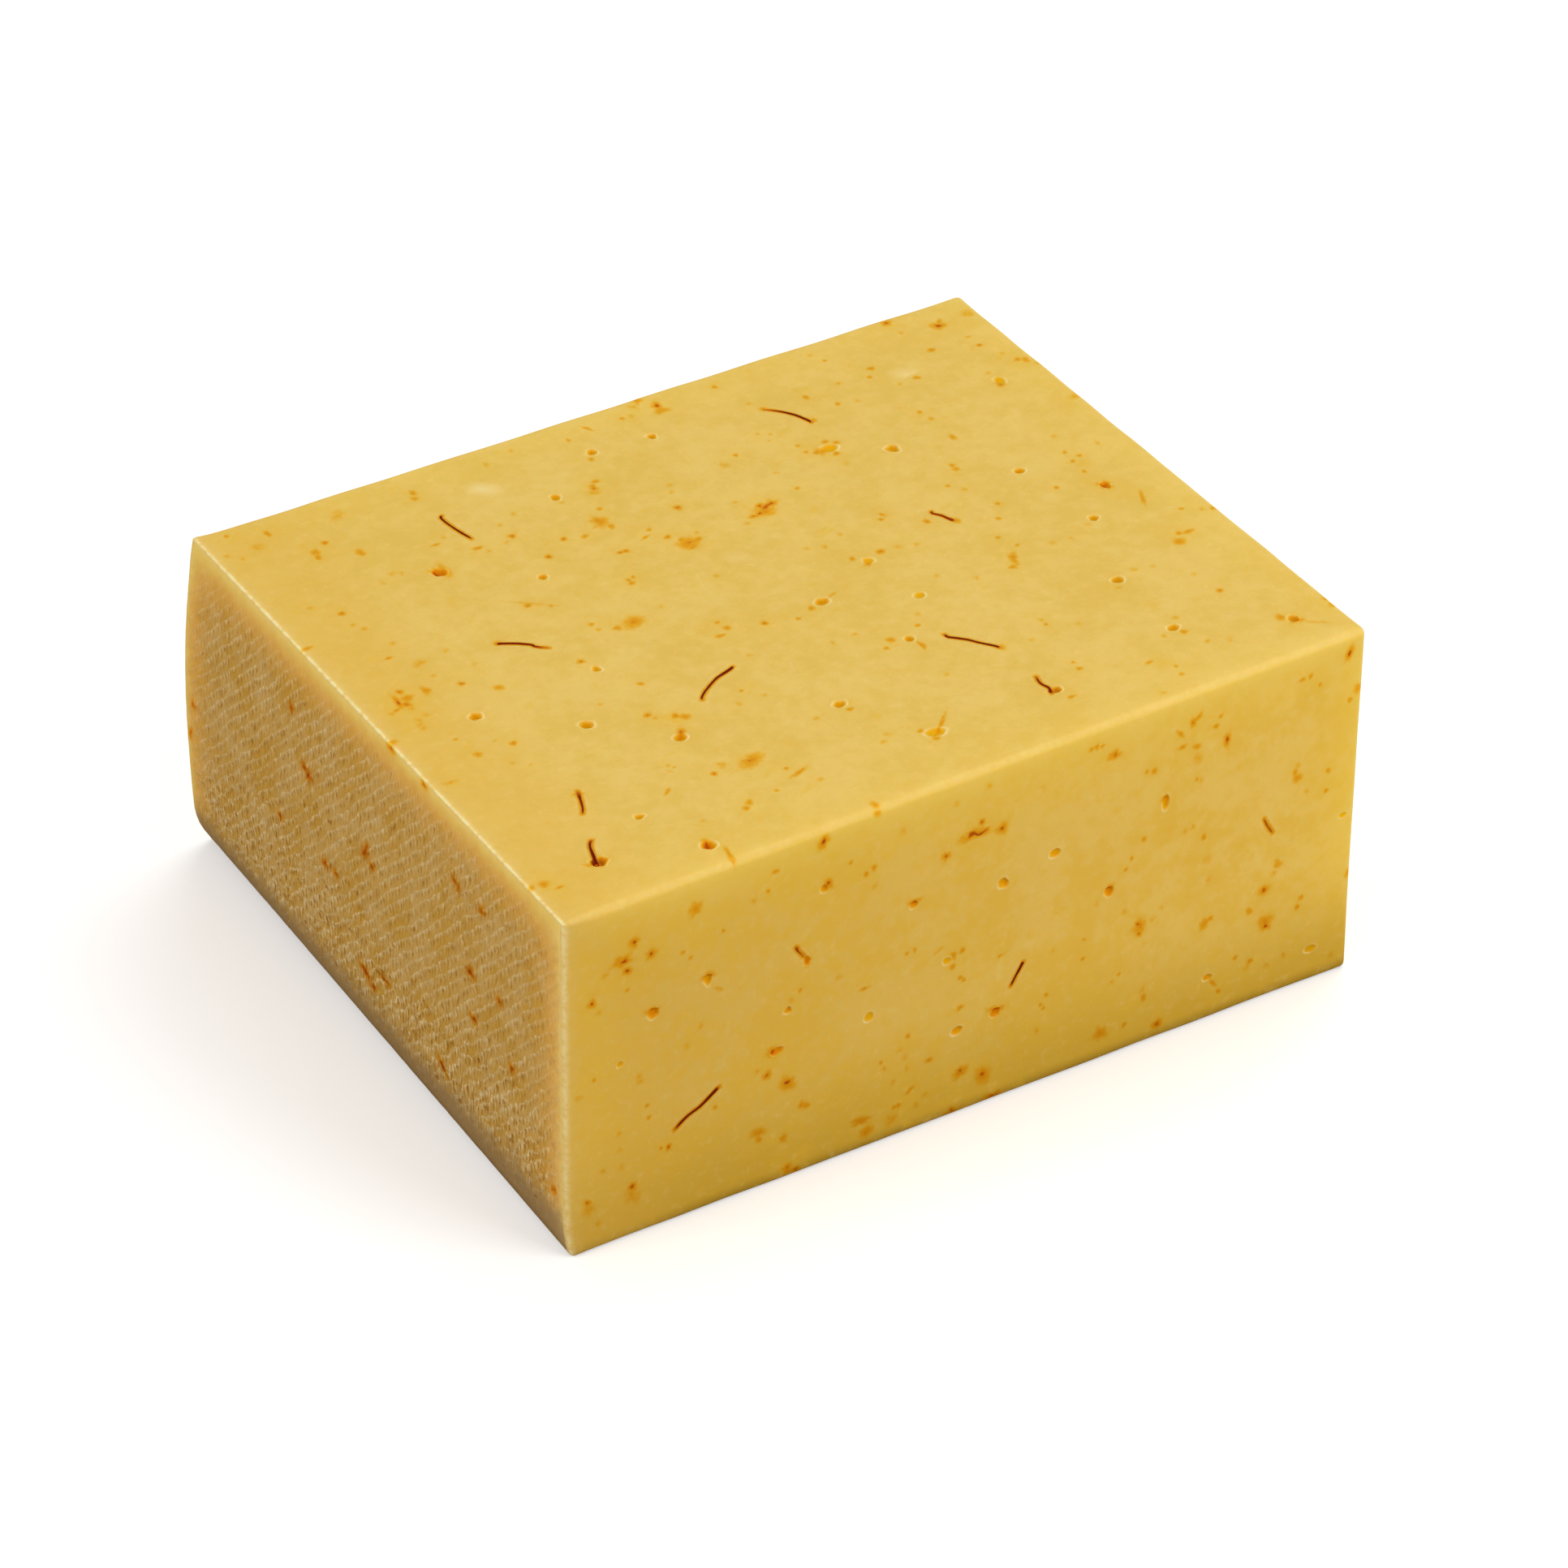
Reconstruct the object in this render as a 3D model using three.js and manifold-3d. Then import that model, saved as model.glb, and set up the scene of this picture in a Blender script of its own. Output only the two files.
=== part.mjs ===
// A block of raclette cheese, cut from a wheel: yellow paste on the cut sides, rind on one end.
// Short saffron threads lie in the cut faces, with small round eyes between them.
//
// Millimetres, +Z up. The origin is on the surface that the block stands on, under the middle of
// the block. X runs from the rind end to the far end, Y from the front face to the back.

import * as THREE from 'three';
import { mergeVertices } from 'three/addons/utils/BufferGeometryUtils.js';
import Module from 'manifold-3d';

// The block
const LENGTH = 155;
const WIDTH = 131;
const HEIGHT = 66;
const EDGE_RADIUS = 1.4;
const CELLS_LONG = 7;
const CELLS_DEEP = 6;
const CELLS_HIGH = 4;

// Where the front low corner of the rind end lies, so that the origin is under the middle
const CORNER_X = -77.0;
const CORNER_Y = -66.2;

// A knife never cuts quite square: how far each corner strays from the plain box, along X and Y
const STRAY = {
  topBackRind: [0.8, -2.5],
  topBackFar: [1.0, 0.1],
  topFrontFar: [-0.2, 3.7],
  topFrontRind: [1.2, 0.0],
  lowBackRind: [-0.7, 2.1],
  lowBackFar: [-3.0, 1.1],
  lowFrontFar: [-3.0, -0.7],
  lowFrontRind: [-0.2, -0.3],
};

// The rind end bulges outwards, more towards the back, and curves under along its lower edge
const BULGE_BACK = 2.0;
const BULGE_FRONT = 0.15;
const BULGE_LEAN = 0.63;
const HEEL_HEIGHT = 9.2;
const HEEL_BACK = 3.0;
const HEEL_FRONT = 1.0;
const HEEL_CELLS_DEEP = 10;
const HEEL_LINES = [-0.35, 0, 0.12, 0.25, 0.4, 0.55, 0.7, 0.85, 1];

// How far the plain block reaches past the rind before it is cut to length, how far the shaping
// slabs reach past the far end, and how far they stand clear where they don't cut
const RIND_ALLOWANCE = 6;
const FAR_ALLOWANCE = 30;
const CLEARANCE = 1;

// The rind keeps the print of the cheese cloth: rows that rise towards the front
const ROW_PITCH = 2.0;
const ROW_DEPTH = 0.28;
const ROW_ANGLE = 43;
const ROW_STEP = 12;
const ROW_HALF_SPAN = 73;
const SMOOTH_TOP = 2;
const FADE_TOP = 7;
const FADE_SIDE = 5;

// Threads and eyes
const THREAD_RADIUS = 0.38;
const THREAD_SIDES = 6;
const THREAD_STEPS = 6;
const THREAD_PROUD = 0.08;
const EYE_DEPTH_SHARE = 0.42;
const EYE_LIFT = 0.15;
const EYE_SIDES = 7;
const EYE_RINGS = 5;

const PASTE = { color: 0xe3c05c, roughness: 0.42, metalness: 0.0 };

// Threads that show, each by the points that it passes through, on the face that it lies in.
// On the top the points are (x, y), and on the front (x, z), from the block's own corner.
const TOP_THREADS = [
  [[38.6, 114.4], [38.7, 112.8], [39.3, 109.3], [40.2, 105.0]],
  [[104.0, 115.0], [106.5, 112.4], [108.0, 109.8], [109.2, 106.8]],
  [[28.6, 74.1], [31.4, 72.8], [33.4, 70.6], [35.3, 68.4]],
  [[49.4, 41.9], [51.5, 43.8], [54.6, 45.8], [58.6, 47.4]],
  [[93.4, 36.4], [93.9, 35.2], [95.8, 32.9], [98.9, 28.7]],
  [[111.4, 70.0], [112.0, 68.7], [113.0, 66.9], [114.1, 65.5]],
  [[19.3, 29.9], [18.8, 28.0], [18.0, 25.8], [17.1, 24.1]],
  [[14.2, 17.2], [13.3, 15.2], [12.8, 12.8], [12.3, 11.3]],
  [[99.7, 17.9], [99.3, 16.0], [99.7, 14.1], [99.4, 12.6]],
];
const FRONT_THREADS = [
  [[20.2, 18.3], [23.4, 20.3], [26.0, 21.8], [28.3, 23.5]],
  [[84.9, 21.9], [85.7, 23.3], [86.4, 24.4], [87.2, 25.8]],
  [[73.6, 53.4], [75.6, 54.1], [77.2, 54.0], [79.0, 54.6]],
  [[42.9, 45.0], [43.4, 43.9], [44.0, 43.0], [44.6, 41.9]],
  [[135.6, 35.8], [136.1, 34.8], [136.5, 34.0], [137.0, 33.0]],
];

// Eyes that show: [x, y or z, length, breadth], the length along X
const TOP_EYES = [
  [30.6, 98.6, 2.6, 2.6], [44.8, 88.0, 1.8, 1.8], [15.5, 57.4, 2.3, 2.2],
  [29.7, 45.6, 2.4, 2.4], [40.9, 34.3, 2.4, 2.2], [81.1, 56.2, 2.8, 2.2],
  [116.6, 91.4, 2.4, 2.6], [107.2, 97.4, 3.4, 2.8], [87.8, 38.8, 1.8, 1.8],
  [67.9, 28.6, 2.4, 2.0], [96.1, 49.0, 2.0, 2.0], [131.7, 73.2, 2.0, 2.0],
  [134.4, 53.4, 1.9, 1.9], [127.3, 35.0, 2.2, 2.4], [127.2, 17.8, 2.4, 2.0],
  [142.0, 61.3, 1.9, 2.2], [71.2, 118.6, 2.0, 2.0], [82.7, 117.6, 1.6, 1.9],
  [39.0, 58.9, 1.6, 1.6], [58.7, 109.0, 2.0, 1.8], [94.3, 62.8, 2.0, 2.0],
  [29.8, 6.1, 2.6, 2.4], [24.3, 18.7, 1.9, 1.4], [12.8, 11.7, 2.8, 2.4],
  [100.2, 12.9, 2.2, 2.0], [145.9, 9.2, 2.0, 2.2],
];
const FRONT_EYES = [
  [16.3, 42.8, 2.1, 2.1], [39.4, 26.4, 2.4, 1.6], [26.3, 45.4, 1.7, 1.9],
  [82.7, 42.7, 2.4, 2.0], [92.8, 44.8, 2.4, 1.7], [65.2, 45.0, 1.7, 1.3],
  [74.4, 16.9, 2.2, 1.6], [81.9, 17.7, 2.2, 1.5], [114.8, 46.7, 1.6, 2.8],
  [104.0, 33.3, 1.9, 2.0], [41.4, 33.6, 1.4, 1.3], [47.9, 54.5, 1.4, 1.5],
  [44.8, 41.4, 1.3, 1.7], [125.3, 8.6, 2.0, 1.3],
];

// Faces that the picture of the block doesn't show carry threads and eyes of the same kinds,
// spread by the golden steps, which keep any two of them apart
const GOLDEN_STEP_A = 0.7549;
const GOLDEN_STEP_B = 0.5698;
const HIDDEN_MARGIN = 9;
const BACK_EYES = 10;
const FAR_EYES = 6;
const LOW_EYES = 8;
const BACK_THREADS = 3;
const FAR_THREADS = 2;
const HIDDEN_EYE_LENGTH = 1.7;
const HIDDEN_EYE_SPREAD = 1.0;
const HIDDEN_EYE_BREADTH_SHARE = 0.8;
const HIDDEN_THREAD_LENGTH = 8;
const HIDDEN_THREAD_BOW = 0.9;
const HIDDEN_THREAD_POINTS = [-0.5, -0.2, 0.2, 0.5];

const wasm = await Module();
wasm.setup();

const mix = (a, b, t) => a + (b - a) * t;
const clamp = (value, low, high) => Math.min(high, Math.max(low, value));

// The stray of a point of the block, mixed from its eight corners: u along, v deep, w high, 0 to 1
function strayAt(u, v, w) {
  const blend = (axis) => {
    const lowFront = mix(STRAY.lowFrontRind[axis], STRAY.lowFrontFar[axis], u);
    const lowBack = mix(STRAY.lowBackRind[axis], STRAY.lowBackFar[axis], u);
    const topFront = mix(STRAY.topFrontRind[axis], STRAY.topFrontFar[axis], u);
    const topBack = mix(STRAY.topBackRind[axis], STRAY.topBackFar[axis], u);
    return mix(mix(lowFront, lowBack, v), mix(topFront, topBack, v), w);
  };
  return [blend(0), blend(1)];
}

// A point given from the block's own corner, carried to where the cut block has it
function placed(x, y, z) {
  const [alongX, alongY] = strayAt(x / LENGTH, y / WIDTH, z / HEIGHT);
  return new THREE.Vector3(x + alongX + CORNER_X, y + alongY + CORNER_Y, z);
}

// A closed geometry becomes a solid once its shared vertices are merged
function solidFrom(geometry) {
  const bare = geometry.clone();
  bare.deleteAttribute('normal');
  bare.deleteAttribute('uv');
  const merged = mergeVertices(bare, 1e-5);
  const vertProperties = new Float32Array(merged.attributes.position.array);
  const triVerts = new Uint32Array(merged.index.array);
  return new wasm.Manifold(new wasm.Mesh({ numProp: 3, vertProperties, triVerts }));
}

function geometryFrom(solid) {
  const mesh = solid.getMesh();
  const geometry = new THREE.BufferGeometry();
  geometry.setAttribute('position', new THREE.BufferAttribute(mesh.vertProperties, 3));
  geometry.setIndex(new THREE.BufferAttribute(mesh.triVerts, 1));
  geometry.computeVertexNormals();
  return geometry;
}

// Lines across a side of the block: one at each end, one where the rounding ends, the rest even
function gridLines(start, end, steps) {
  const lines = [start, start + EDGE_RADIUS];
  for (let step = 1; step < steps; step += 1) {
    lines.push(mix(start + EDGE_RADIUS, end - EDGE_RADIUS, step / steps));
  }
  lines.push(end - EDGE_RADIUS, end);
  return lines;
}

// The block as the knife leaves it: a box with rounded edges and straying corners. It reaches
// past the rind, which cuts it to length.
function knifeCutBlock() {
  const xLines = gridLines(-RIND_ALLOWANCE, LENGTH, CELLS_LONG);
  const yLines = gridLines(0, WIDTH, CELLS_DEEP);
  const zLines = gridLines(0, HEIGHT, CELLS_HIGH);
  const cells = [xLines.length - 1, yLines.length - 1, zLines.length - 1];
  const geometry = new THREE.BoxGeometry(1, 1, 1, ...cells);
  const position = geometry.attributes.position;
  const lineAt = (lines, unit) => lines[Math.round((unit + 0.5) * (lines.length - 1))];
  for (let i = 0; i < position.count; i += 1) {
    const plain = new THREE.Vector3(
      lineAt(xLines, position.getX(i)),
      lineAt(yLines, position.getY(i)),
      lineAt(zLines, position.getZ(i)),
    );
    const core = new THREE.Vector3(
      clamp(plain.x, EDGE_RADIUS - RIND_ALLOWANCE, LENGTH - EDGE_RADIUS),
      clamp(plain.y, EDGE_RADIUS, WIDTH - EDGE_RADIUS),
      clamp(plain.z, EDGE_RADIUS, HEIGHT - EDGE_RADIUS),
    );
    const out = plain.clone().sub(core).setLength(EDGE_RADIUS);
    const round = core.add(out);
    position.setXYZ(i, ...placed(round.x, round.y, round.z).toArray());
  }
  return solidFrom(geometry);
}

// How far along X the smooth rind lies: the end's own stray, less the bulge
function rindReach(y, z) {
  const v = clamp(y / WIDTH, -0.03, 1.03);
  const w = clamp(z / HEIGHT, -0.03, 1.03);
  const arch = 4 * w * (1 - w) * (1 - BULGE_LEAN * (0.5 - w));
  return strayAt(0, v, w)[0] - mix(BULGE_FRONT, BULGE_BACK, v) * arch;
}

// How far the heel, the lower edge of the rind, curves back under the block
function heelReach(y, z) {
  const fade = Math.max(0, 1 - z / HEEL_HEIGHT) ** 2;
  return mix(HEEL_FRONT, HEEL_BACK, clamp(y / WIDTH, 0, 1)) * fade;
}

// The print of the cloth fades out towards the top and side edges, where the rind is smooth
function printShare(y, z) {
  const fromTop = clamp((HEIGHT - SMOOTH_TOP - z) / FADE_TOP, 0, 1);
  const fromFront = clamp(y / FADE_SIDE, 0, 1);
  const fromBack = clamp((WIDTH - y) / FADE_SIDE, 0, 1);
  return fromTop * fromFront * fromBack;
}

// A box of which the near face is a sheet of cells, first along Y and then along Z, and follows
// the given points. Its far face lies beyond the block.
function slab(cells, sheetPoint) {
  const geometry = new THREE.BoxGeometry(1, 1, 1, 1, ...cells);
  const position = geometry.attributes.position;
  for (let i = 0; i < position.count; i += 1) {
    const lineY = Math.round((position.getY(i) + 0.5) * cells[0]);
    const lineZ = Math.round((position.getZ(i) + 0.5) * cells[1]);
    const [x, y, z] = sheetPoint(lineY, lineZ);
    const reach = position.getX(i) < 0 ? x : LENGTH + FAR_ALLOWANCE;
    position.setXYZ(i, reach + CORNER_X, y + CORNER_Y, z);
  }
  return solidFrom(geometry);
}

// The slab that shapes the rind. Its sheet follows the rows of the print, with a crest line and a
// furrow line in turn, and reaches past the block on all sides.
function printedSlab() {
  const angle = THREE.MathUtils.degToRad(ROW_ANGLE);
  const across = { y: Math.sin(angle), z: Math.cos(angle) };
  const along = { y: -Math.cos(angle), z: Math.sin(angle) };
  const acrossCells = Math.round((4 * ROW_HALF_SPAN) / ROW_PITCH);
  const alongCells = Math.round((2 * ROW_HALF_SPAN) / ROW_STEP);
  return slab([acrossCells, alongCells], (acrossLine, alongLine) => {
    const a = (acrossLine / acrossCells - 0.5) * 2 * ROW_HALF_SPAN;
    const b = (alongLine / alongCells - 0.5) * 2 * ROW_HALF_SPAN;
    const y = WIDTH / 2 + a * across.y + b * along.y;
    const z = HEIGHT / 2 + a * across.z + b * along.z;
    const furrow = (acrossLine % 2) * ROW_DEPTH * printShare(y, z);
    return [rindReach(y, z) + furrow, y, z];
  });
}

// The slab that shapes the heel. Above the heel its sheet stands clear of the rind.
function heelSlab() {
  const heelLines = HEEL_LINES.map((share) => share * HEEL_HEIGHT);
  const zLines = [...heelLines, HEEL_HEIGHT + CLEARANCE, HEIGHT / 2, HEIGHT + CLEARANCE];
  const lastY = WIDTH + STRAY.lowBackRind[1] + CLEARANCE;
  return slab([HEEL_CELLS_DEEP, zLines.length - 1], (deepLine, highLine) => {
    const y = mix(-CLEARANCE, lastY, deepLine / HEEL_CELLS_DEEP);
    const z = zLines[highLine];
    const lift = z > HEEL_HEIGHT ? -CLEARANCE : heelReach(y, Math.max(z, 0));
    return [rindReach(y, z) + lift, y, z];
  });
}

// The faces that threads and eyes lie in: a point of the face, and the two directions along it
const FACES = {
  top: { at: (a, b) => placed(a, b, HEIGHT), out: [0, 0, 1], first: [1, 0, 0] },
  front: { at: (a, b) => placed(a, 0, b), out: [0, -1, 0], first: [1, 0, 0] },
  back: { at: (a, b) => placed(a, WIDTH, b), out: [0, 1, 0], first: [1, 0, 0] },
  far: { at: (a, b) => placed(LENGTH, a, b), out: [1, 0, 0], first: [0, 1, 0] },
  low: { at: (a, b) => placed(a, b, 0), out: [0, 0, -1], first: [1, 0, 0] },
};

// A saffron thread: a thin bent rod, half sunk into its face
function thread(face, points) {
  const out = new THREE.Vector3(...face.out);
  const path = new THREE.CatmullRomCurve3(
    points.map(([a, b]) => face.at(a, b).addScaledVector(out, THREAD_PROUD)),
  );
  const section = new THREE.Shape();
  for (let side = 0; side < THREAD_SIDES; side += 1) {
    const turn = (2 * Math.PI * (side + 0.5)) / THREAD_SIDES;
    const corner = [THREAD_RADIUS * Math.cos(turn), THREAD_RADIUS * Math.sin(turn)];
    if (side === 0) {
      section.moveTo(...corner);
    } else {
      section.lineTo(...corner);
    }
  }
  section.closePath();
  return solidFrom(new THREE.ExtrudeGeometry(section, {
    steps: THREAD_STEPS,
    bevelEnabled: false,
    extrudePath: path,
  }));
}

// An eye: a round hollow, as deep as a share of its breadth
function eye(face, [a, b, length, breadth]) {
  const first = new THREE.Vector3(...face.first);
  const out = new THREE.Vector3(...face.out);
  const second = out.clone().cross(first);
  const depth = EYE_DEPTH_SHARE * Math.min(length, breadth);
  const geometry = new THREE.SphereGeometry(1, EYE_SIDES, EYE_RINGS);
  const turned = new THREE.Matrix4().makeBasis(
    first.multiplyScalar(length / 2),
    out.multiplyScalar(depth + EYE_LIFT),
    second.multiplyScalar(-breadth / 2),
  );
  const centre = face.at(a, b).addScaledVector(new THREE.Vector3(...face.out), EYE_LIFT);
  geometry.applyMatrix4(turned.setPosition(centre));
  return solidFrom(geometry);
}

// The golden steps' point number i on a face of the given size, clear of its edges
function goldenPoint(i, size) {
  const spread = (step, side) => mix(HIDDEN_MARGIN, side - HIDDEN_MARGIN, (0.5 + i * step) % 1);
  return [spread(GOLDEN_STEP_A, size[0]), spread(GOLDEN_STEP_B, size[1])];
}

function hiddenEye(face, size, i) {
  const long = HIDDEN_EYE_LENGTH + HIDDEN_EYE_SPREAD * ((i * GOLDEN_STEP_B) % 1);
  return eye(face, [...goldenPoint(i, size), long, HIDDEN_EYE_BREADTH_SHARE * long]);
}

function hiddenThread(face, size, i) {
  const [a, b] = goldenPoint(i + 0.5, size);
  const heading = 2 * Math.PI * ((i * GOLDEN_STEP_A) % 1);
  const point = (reach) => {
    const aside = HIDDEN_THREAD_BOW * Math.cos(Math.PI * reach);
    const ahead = HIDDEN_THREAD_LENGTH * reach;
    return [
      a + ahead * Math.cos(heading) - aside * Math.sin(heading),
      b + ahead * Math.sin(heading) + aside * Math.cos(heading),
    ];
  };
  return thread(face, HIDDEN_THREAD_POINTS.map(point));
}

const counted = (count, make) => Array.from({ length: count }, (unused, i) => make(i + 1));

function cheeseBlock() {
  const backSize = [LENGTH, HEIGHT];
  const farSize = [WIDTH, HEIGHT];
  const lowSize = [LENGTH, WIDTH];
  const threads = [
    ...TOP_THREADS.map((points) => thread(FACES.top, points)),
    ...FRONT_THREADS.map((points) => thread(FACES.front, points)),
    ...counted(BACK_THREADS, (i) => hiddenThread(FACES.back, backSize, i)),
    ...counted(FAR_THREADS, (i) => hiddenThread(FACES.far, farSize, i)),
  ];
  const eyes = [
    ...TOP_EYES.map((size) => eye(FACES.top, size)),
    ...FRONT_EYES.map((size) => eye(FACES.front, size)),
    ...counted(BACK_EYES, (i) => hiddenEye(FACES.back, backSize, i)),
    ...counted(FAR_EYES, (i) => hiddenEye(FACES.far, farSize, i)),
    ...counted(LOW_EYES, (i) => hiddenEye(FACES.low, lowSize, i)),
  ];
  let solid = knifeCutBlock().intersect(printedSlab()).intersect(heelSlab());
  for (const hollow of eyes) {
    solid = solid.subtract(hollow);
  }
  for (const strand of threads) {
    solid = solid.add(strand);
  }
  const mesh = new THREE.Mesh(geometryFrom(solid), new THREE.MeshStandardMaterial(PASTE));
  mesh.name = 'cheese_block';
  return mesh;
}

const cheese = new THREE.Group();
cheese.name = 'raclette_cheese';
cheese.add(cheeseBlock());

export default cheese;
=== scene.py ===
"""A cut block of raclette with saffron in its paste and a washed rind on one end.

The block is one closed surface. It starts as a plain box in millimetres, with its origin at the
front low corner of the rind end, x from the rind to the far end, y from front to back and z up.
The box is rounded, pressed with the eyes and the rind's print, then skewed and bulged into the
cut block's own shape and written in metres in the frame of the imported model.
"""

import logging
import math
from dataclasses import dataclass, field
from enum import Enum

import bpy
import numpy as np
from mathutils import Matrix, Vector
from mathutils.geometry import delaunay_2d_cdt


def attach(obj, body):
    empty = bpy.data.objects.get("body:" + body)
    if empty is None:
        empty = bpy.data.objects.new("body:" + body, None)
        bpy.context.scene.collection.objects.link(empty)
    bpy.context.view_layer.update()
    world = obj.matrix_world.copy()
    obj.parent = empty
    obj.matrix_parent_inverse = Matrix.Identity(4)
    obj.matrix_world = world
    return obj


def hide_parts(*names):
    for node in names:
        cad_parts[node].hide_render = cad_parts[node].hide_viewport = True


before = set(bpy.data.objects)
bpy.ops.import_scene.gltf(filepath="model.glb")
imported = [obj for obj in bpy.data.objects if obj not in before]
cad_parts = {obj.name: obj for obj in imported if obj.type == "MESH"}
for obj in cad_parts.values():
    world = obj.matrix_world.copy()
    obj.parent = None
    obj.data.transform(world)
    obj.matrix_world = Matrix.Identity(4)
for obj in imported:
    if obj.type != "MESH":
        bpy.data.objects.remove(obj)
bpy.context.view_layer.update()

MM = 0.001
BODY = "root"
BLOCK_NODE = "cheese_block"
SEED = 41

log = logging.getLogger("raclette")


# Sizes of the block

@dataclass(frozen=True)
class BlockForm:
    """The cut block's form: a plain box and what turns it into the real shape, all in mm.

    A stray is how far one corner of the real block lies from the plain box's corner, along x and y.
    Keys are (far end, back, top) as 0 or 1.
    """

    length: float = 155.0
    width: float = 131.0
    height: float = 66.0
    corner_x: float = -77.0
    corner_y: float = -66.2
    cut_edge_radius: float = 1.4
    low_edge_radius: float = 1.1
    rind_top_radius: float = 0.45
    rind_side_radius: float = 0.9
    radius_blend: float = 8.0
    bulge_back: float = 2.0
    bulge_front: float = 0.15
    bulge_lean: float = 0.63
    bulge_reach: float = 0.25
    heel_height: float = 9.2
    heel_back: float = 3.0
    heel_front: float = 1.0
    strays: dict = field(default_factory=lambda: {
        (0, 1, 1): (0.8, -2.5),
        (1, 1, 1): (1.0, 0.1),
        (1, 0, 1): (-0.2, 3.7),
        (0, 0, 1): (1.2, 0.0),
        (0, 1, 0): (-0.7, 2.08),
        (1, 1, 0): (-3.0, 1.1),
        (1, 0, 0): (-3.0, -0.68),
        (0, 0, 0): (-0.2, -0.3),
    })

    @property
    def size(self) -> np.ndarray:
        """The plain box's three sides."""
        return np.array([self.length, self.width, self.height])

    def rounding(self, box: np.ndarray) -> tuple[np.ndarray, np.ndarray]:
        """Rounds the box's edges: a core point is the box point held one radius inside the box.

        The surface lies one radius from the core point, towards the box point.

        Args:
            box: Points on the plain box.

        Returns:
            The rounded points and their outward directions.
        """
        upper = smooth_step(box[:, 2], self.height - 9.0, self.height - 3.0)
        at_rind = blend(self.rind_side_radius, self.rind_top_radius, upper)
        nearness = np.clip(1.0 - box[:, 0] / self.radius_blend, 0.0, 1.0) ** 2
        at_cut = blend(self.low_edge_radius, self.cut_edge_radius, smooth_step(box[:, 2], 2.0, 14.0))
        radius = blend(at_cut, at_rind, nearness)[:, None]
        core = np.clip(box, radius, self.size - radius)
        outward = box - core
        outward /= np.linalg.norm(outward, axis=1, keepdims=True)
        return core + radius * outward, outward

    def skew(self, points: np.ndarray, box: np.ndarray) -> np.ndarray:
        """Moves points by the strays of the eight corners, weighted by nearness, then by the bulge.

        Args:
            points: Points to move.
            box: Where they are on the plain box.

        Returns:
            The moved points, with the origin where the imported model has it.
        """
        share = np.clip(box / self.size, 0.0, 1.0)
        moved = points.copy()
        for ends, (stray_x, stray_y) in self.strays.items():
            weight = np.ones(len(box))
            for axis, end in enumerate(ends):
                weight *= share[:, axis] if end else 1.0 - share[:, axis]
            moved[:, 0] += weight * stray_x
            moved[:, 1] += weight * stray_y
        across, up = share[:, 1], share[:, 2]
        near = np.clip(1.0 - share[:, 0] / self.bulge_reach, 0.0, 1.0) ** 2
        bulge = blend(self.bulge_front, self.bulge_back, across)
        bulge = bulge * 4.0 * up * (1.0 - up) * (1.0 - self.bulge_lean * (0.5 - up))
        heel = blend(self.heel_front, self.heel_back, across)
        heel = heel * np.clip(1.0 - box[:, 2] / self.heel_height, 0.0, 1.0) ** 2
        moved[:, 0] += (heel - bulge) * near
        return moved + np.array([self.corner_x, self.corner_y, 0.0])


# Small helpers for whole arrays

def blend(low, high, share):
    """Value between low and high: low at share 0, high at share 1."""
    return low + (high - low) * share


def smooth_step(value: np.ndarray, start: float, end: float) -> np.ndarray:
    """Rises smoothly from 0 at start to 1 at end, as 3t squared less 2t cubed."""
    t = np.clip((value - start) / (end - start), 0.0, 1.0)
    return t * t * (3.0 - 2.0 * t)


def within(points: np.ndarray, centre: np.ndarray, reach: float) -> np.ndarray:
    """Numbers of the points in the cube that reaches so far to every side of a centre."""
    near = np.nonzero(np.abs(points[:, 2] - centre[2]) < reach)[0]
    for axis in (1, 0):
        near = near[np.abs(points[near, axis] - centre[axis]) < reach]
    return near


def wave_field(first: np.ndarray, second: np.ndarray, waves: int, turns: tuple[float, float],
               heading: float, spread: float, seed: int) -> np.ndarray:
    """Sum of plane waves, the root of 2 over their number high each, so that it is about 1 strong.

    Args:
        first: Coordinate along the face's first direction, mm.
        second: Coordinate along its second direction, mm.
        waves: How many waves are added.
        turns: Lowest and highest number of waves in a mm.
        heading: Middle direction of the waves' travel, degrees.
        spread: How far the direction strays from it to either side, degrees.
        seed: Seed of the draw.

    Returns:
        The field's height at each point.
    """
    draw = np.random.default_rng(seed)
    total = np.zeros_like(first)
    for _ in range(waves):
        turn = 2.0 * math.pi * draw.uniform(*turns)
        angle = math.radians(heading + draw.uniform(-spread, spread))
        phase = draw.uniform(0.0, 2.0 * math.pi)
        total += np.cos(turn * (first * math.cos(angle) + second * math.sin(angle)) + phase)
    return total * math.sqrt(2.0 / waves)


# The block's faces

class Side(Enum):
    """A face of the plain box: the axis it faces along, its end of that axis, its two running axes.

    The running axes are in the order that turns a cell's corners anticlockwise seen from outside.
    """

    RIND = (0, 0, 2, 1)
    FAR = (0, 1, 1, 2)
    FRONT = (1, 0, 0, 2)
    BACK = (1, 1, 2, 0)
    LOW = (2, 0, 1, 0)
    TOP = (2, 1, 0, 1)

    def axes(self) -> tuple[np.ndarray, np.ndarray, np.ndarray]:
        """The directions in which a mark's two places are read, and the outward one."""
        facing, end = self.value[:2]
        along, up = [np.eye(3)[axis] for axis in range(3) if axis != facing]
        outward = np.eye(3)[facing] * (1.0 if end else -1.0)
        return (-along if self is Side.RIND else along), up, outward

    def spot(self, along: float, up: float, form: BlockForm) -> np.ndarray:
        """Box point of a mark. On the rind the first place is read from the back edge forwards."""
        facing, end = self.value[:2]
        first = form.width - along if self is Side.RIND else along
        return np.insert(np.array([first, up]), facing, form.size[facing] * end)


# Marks in the paste

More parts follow.
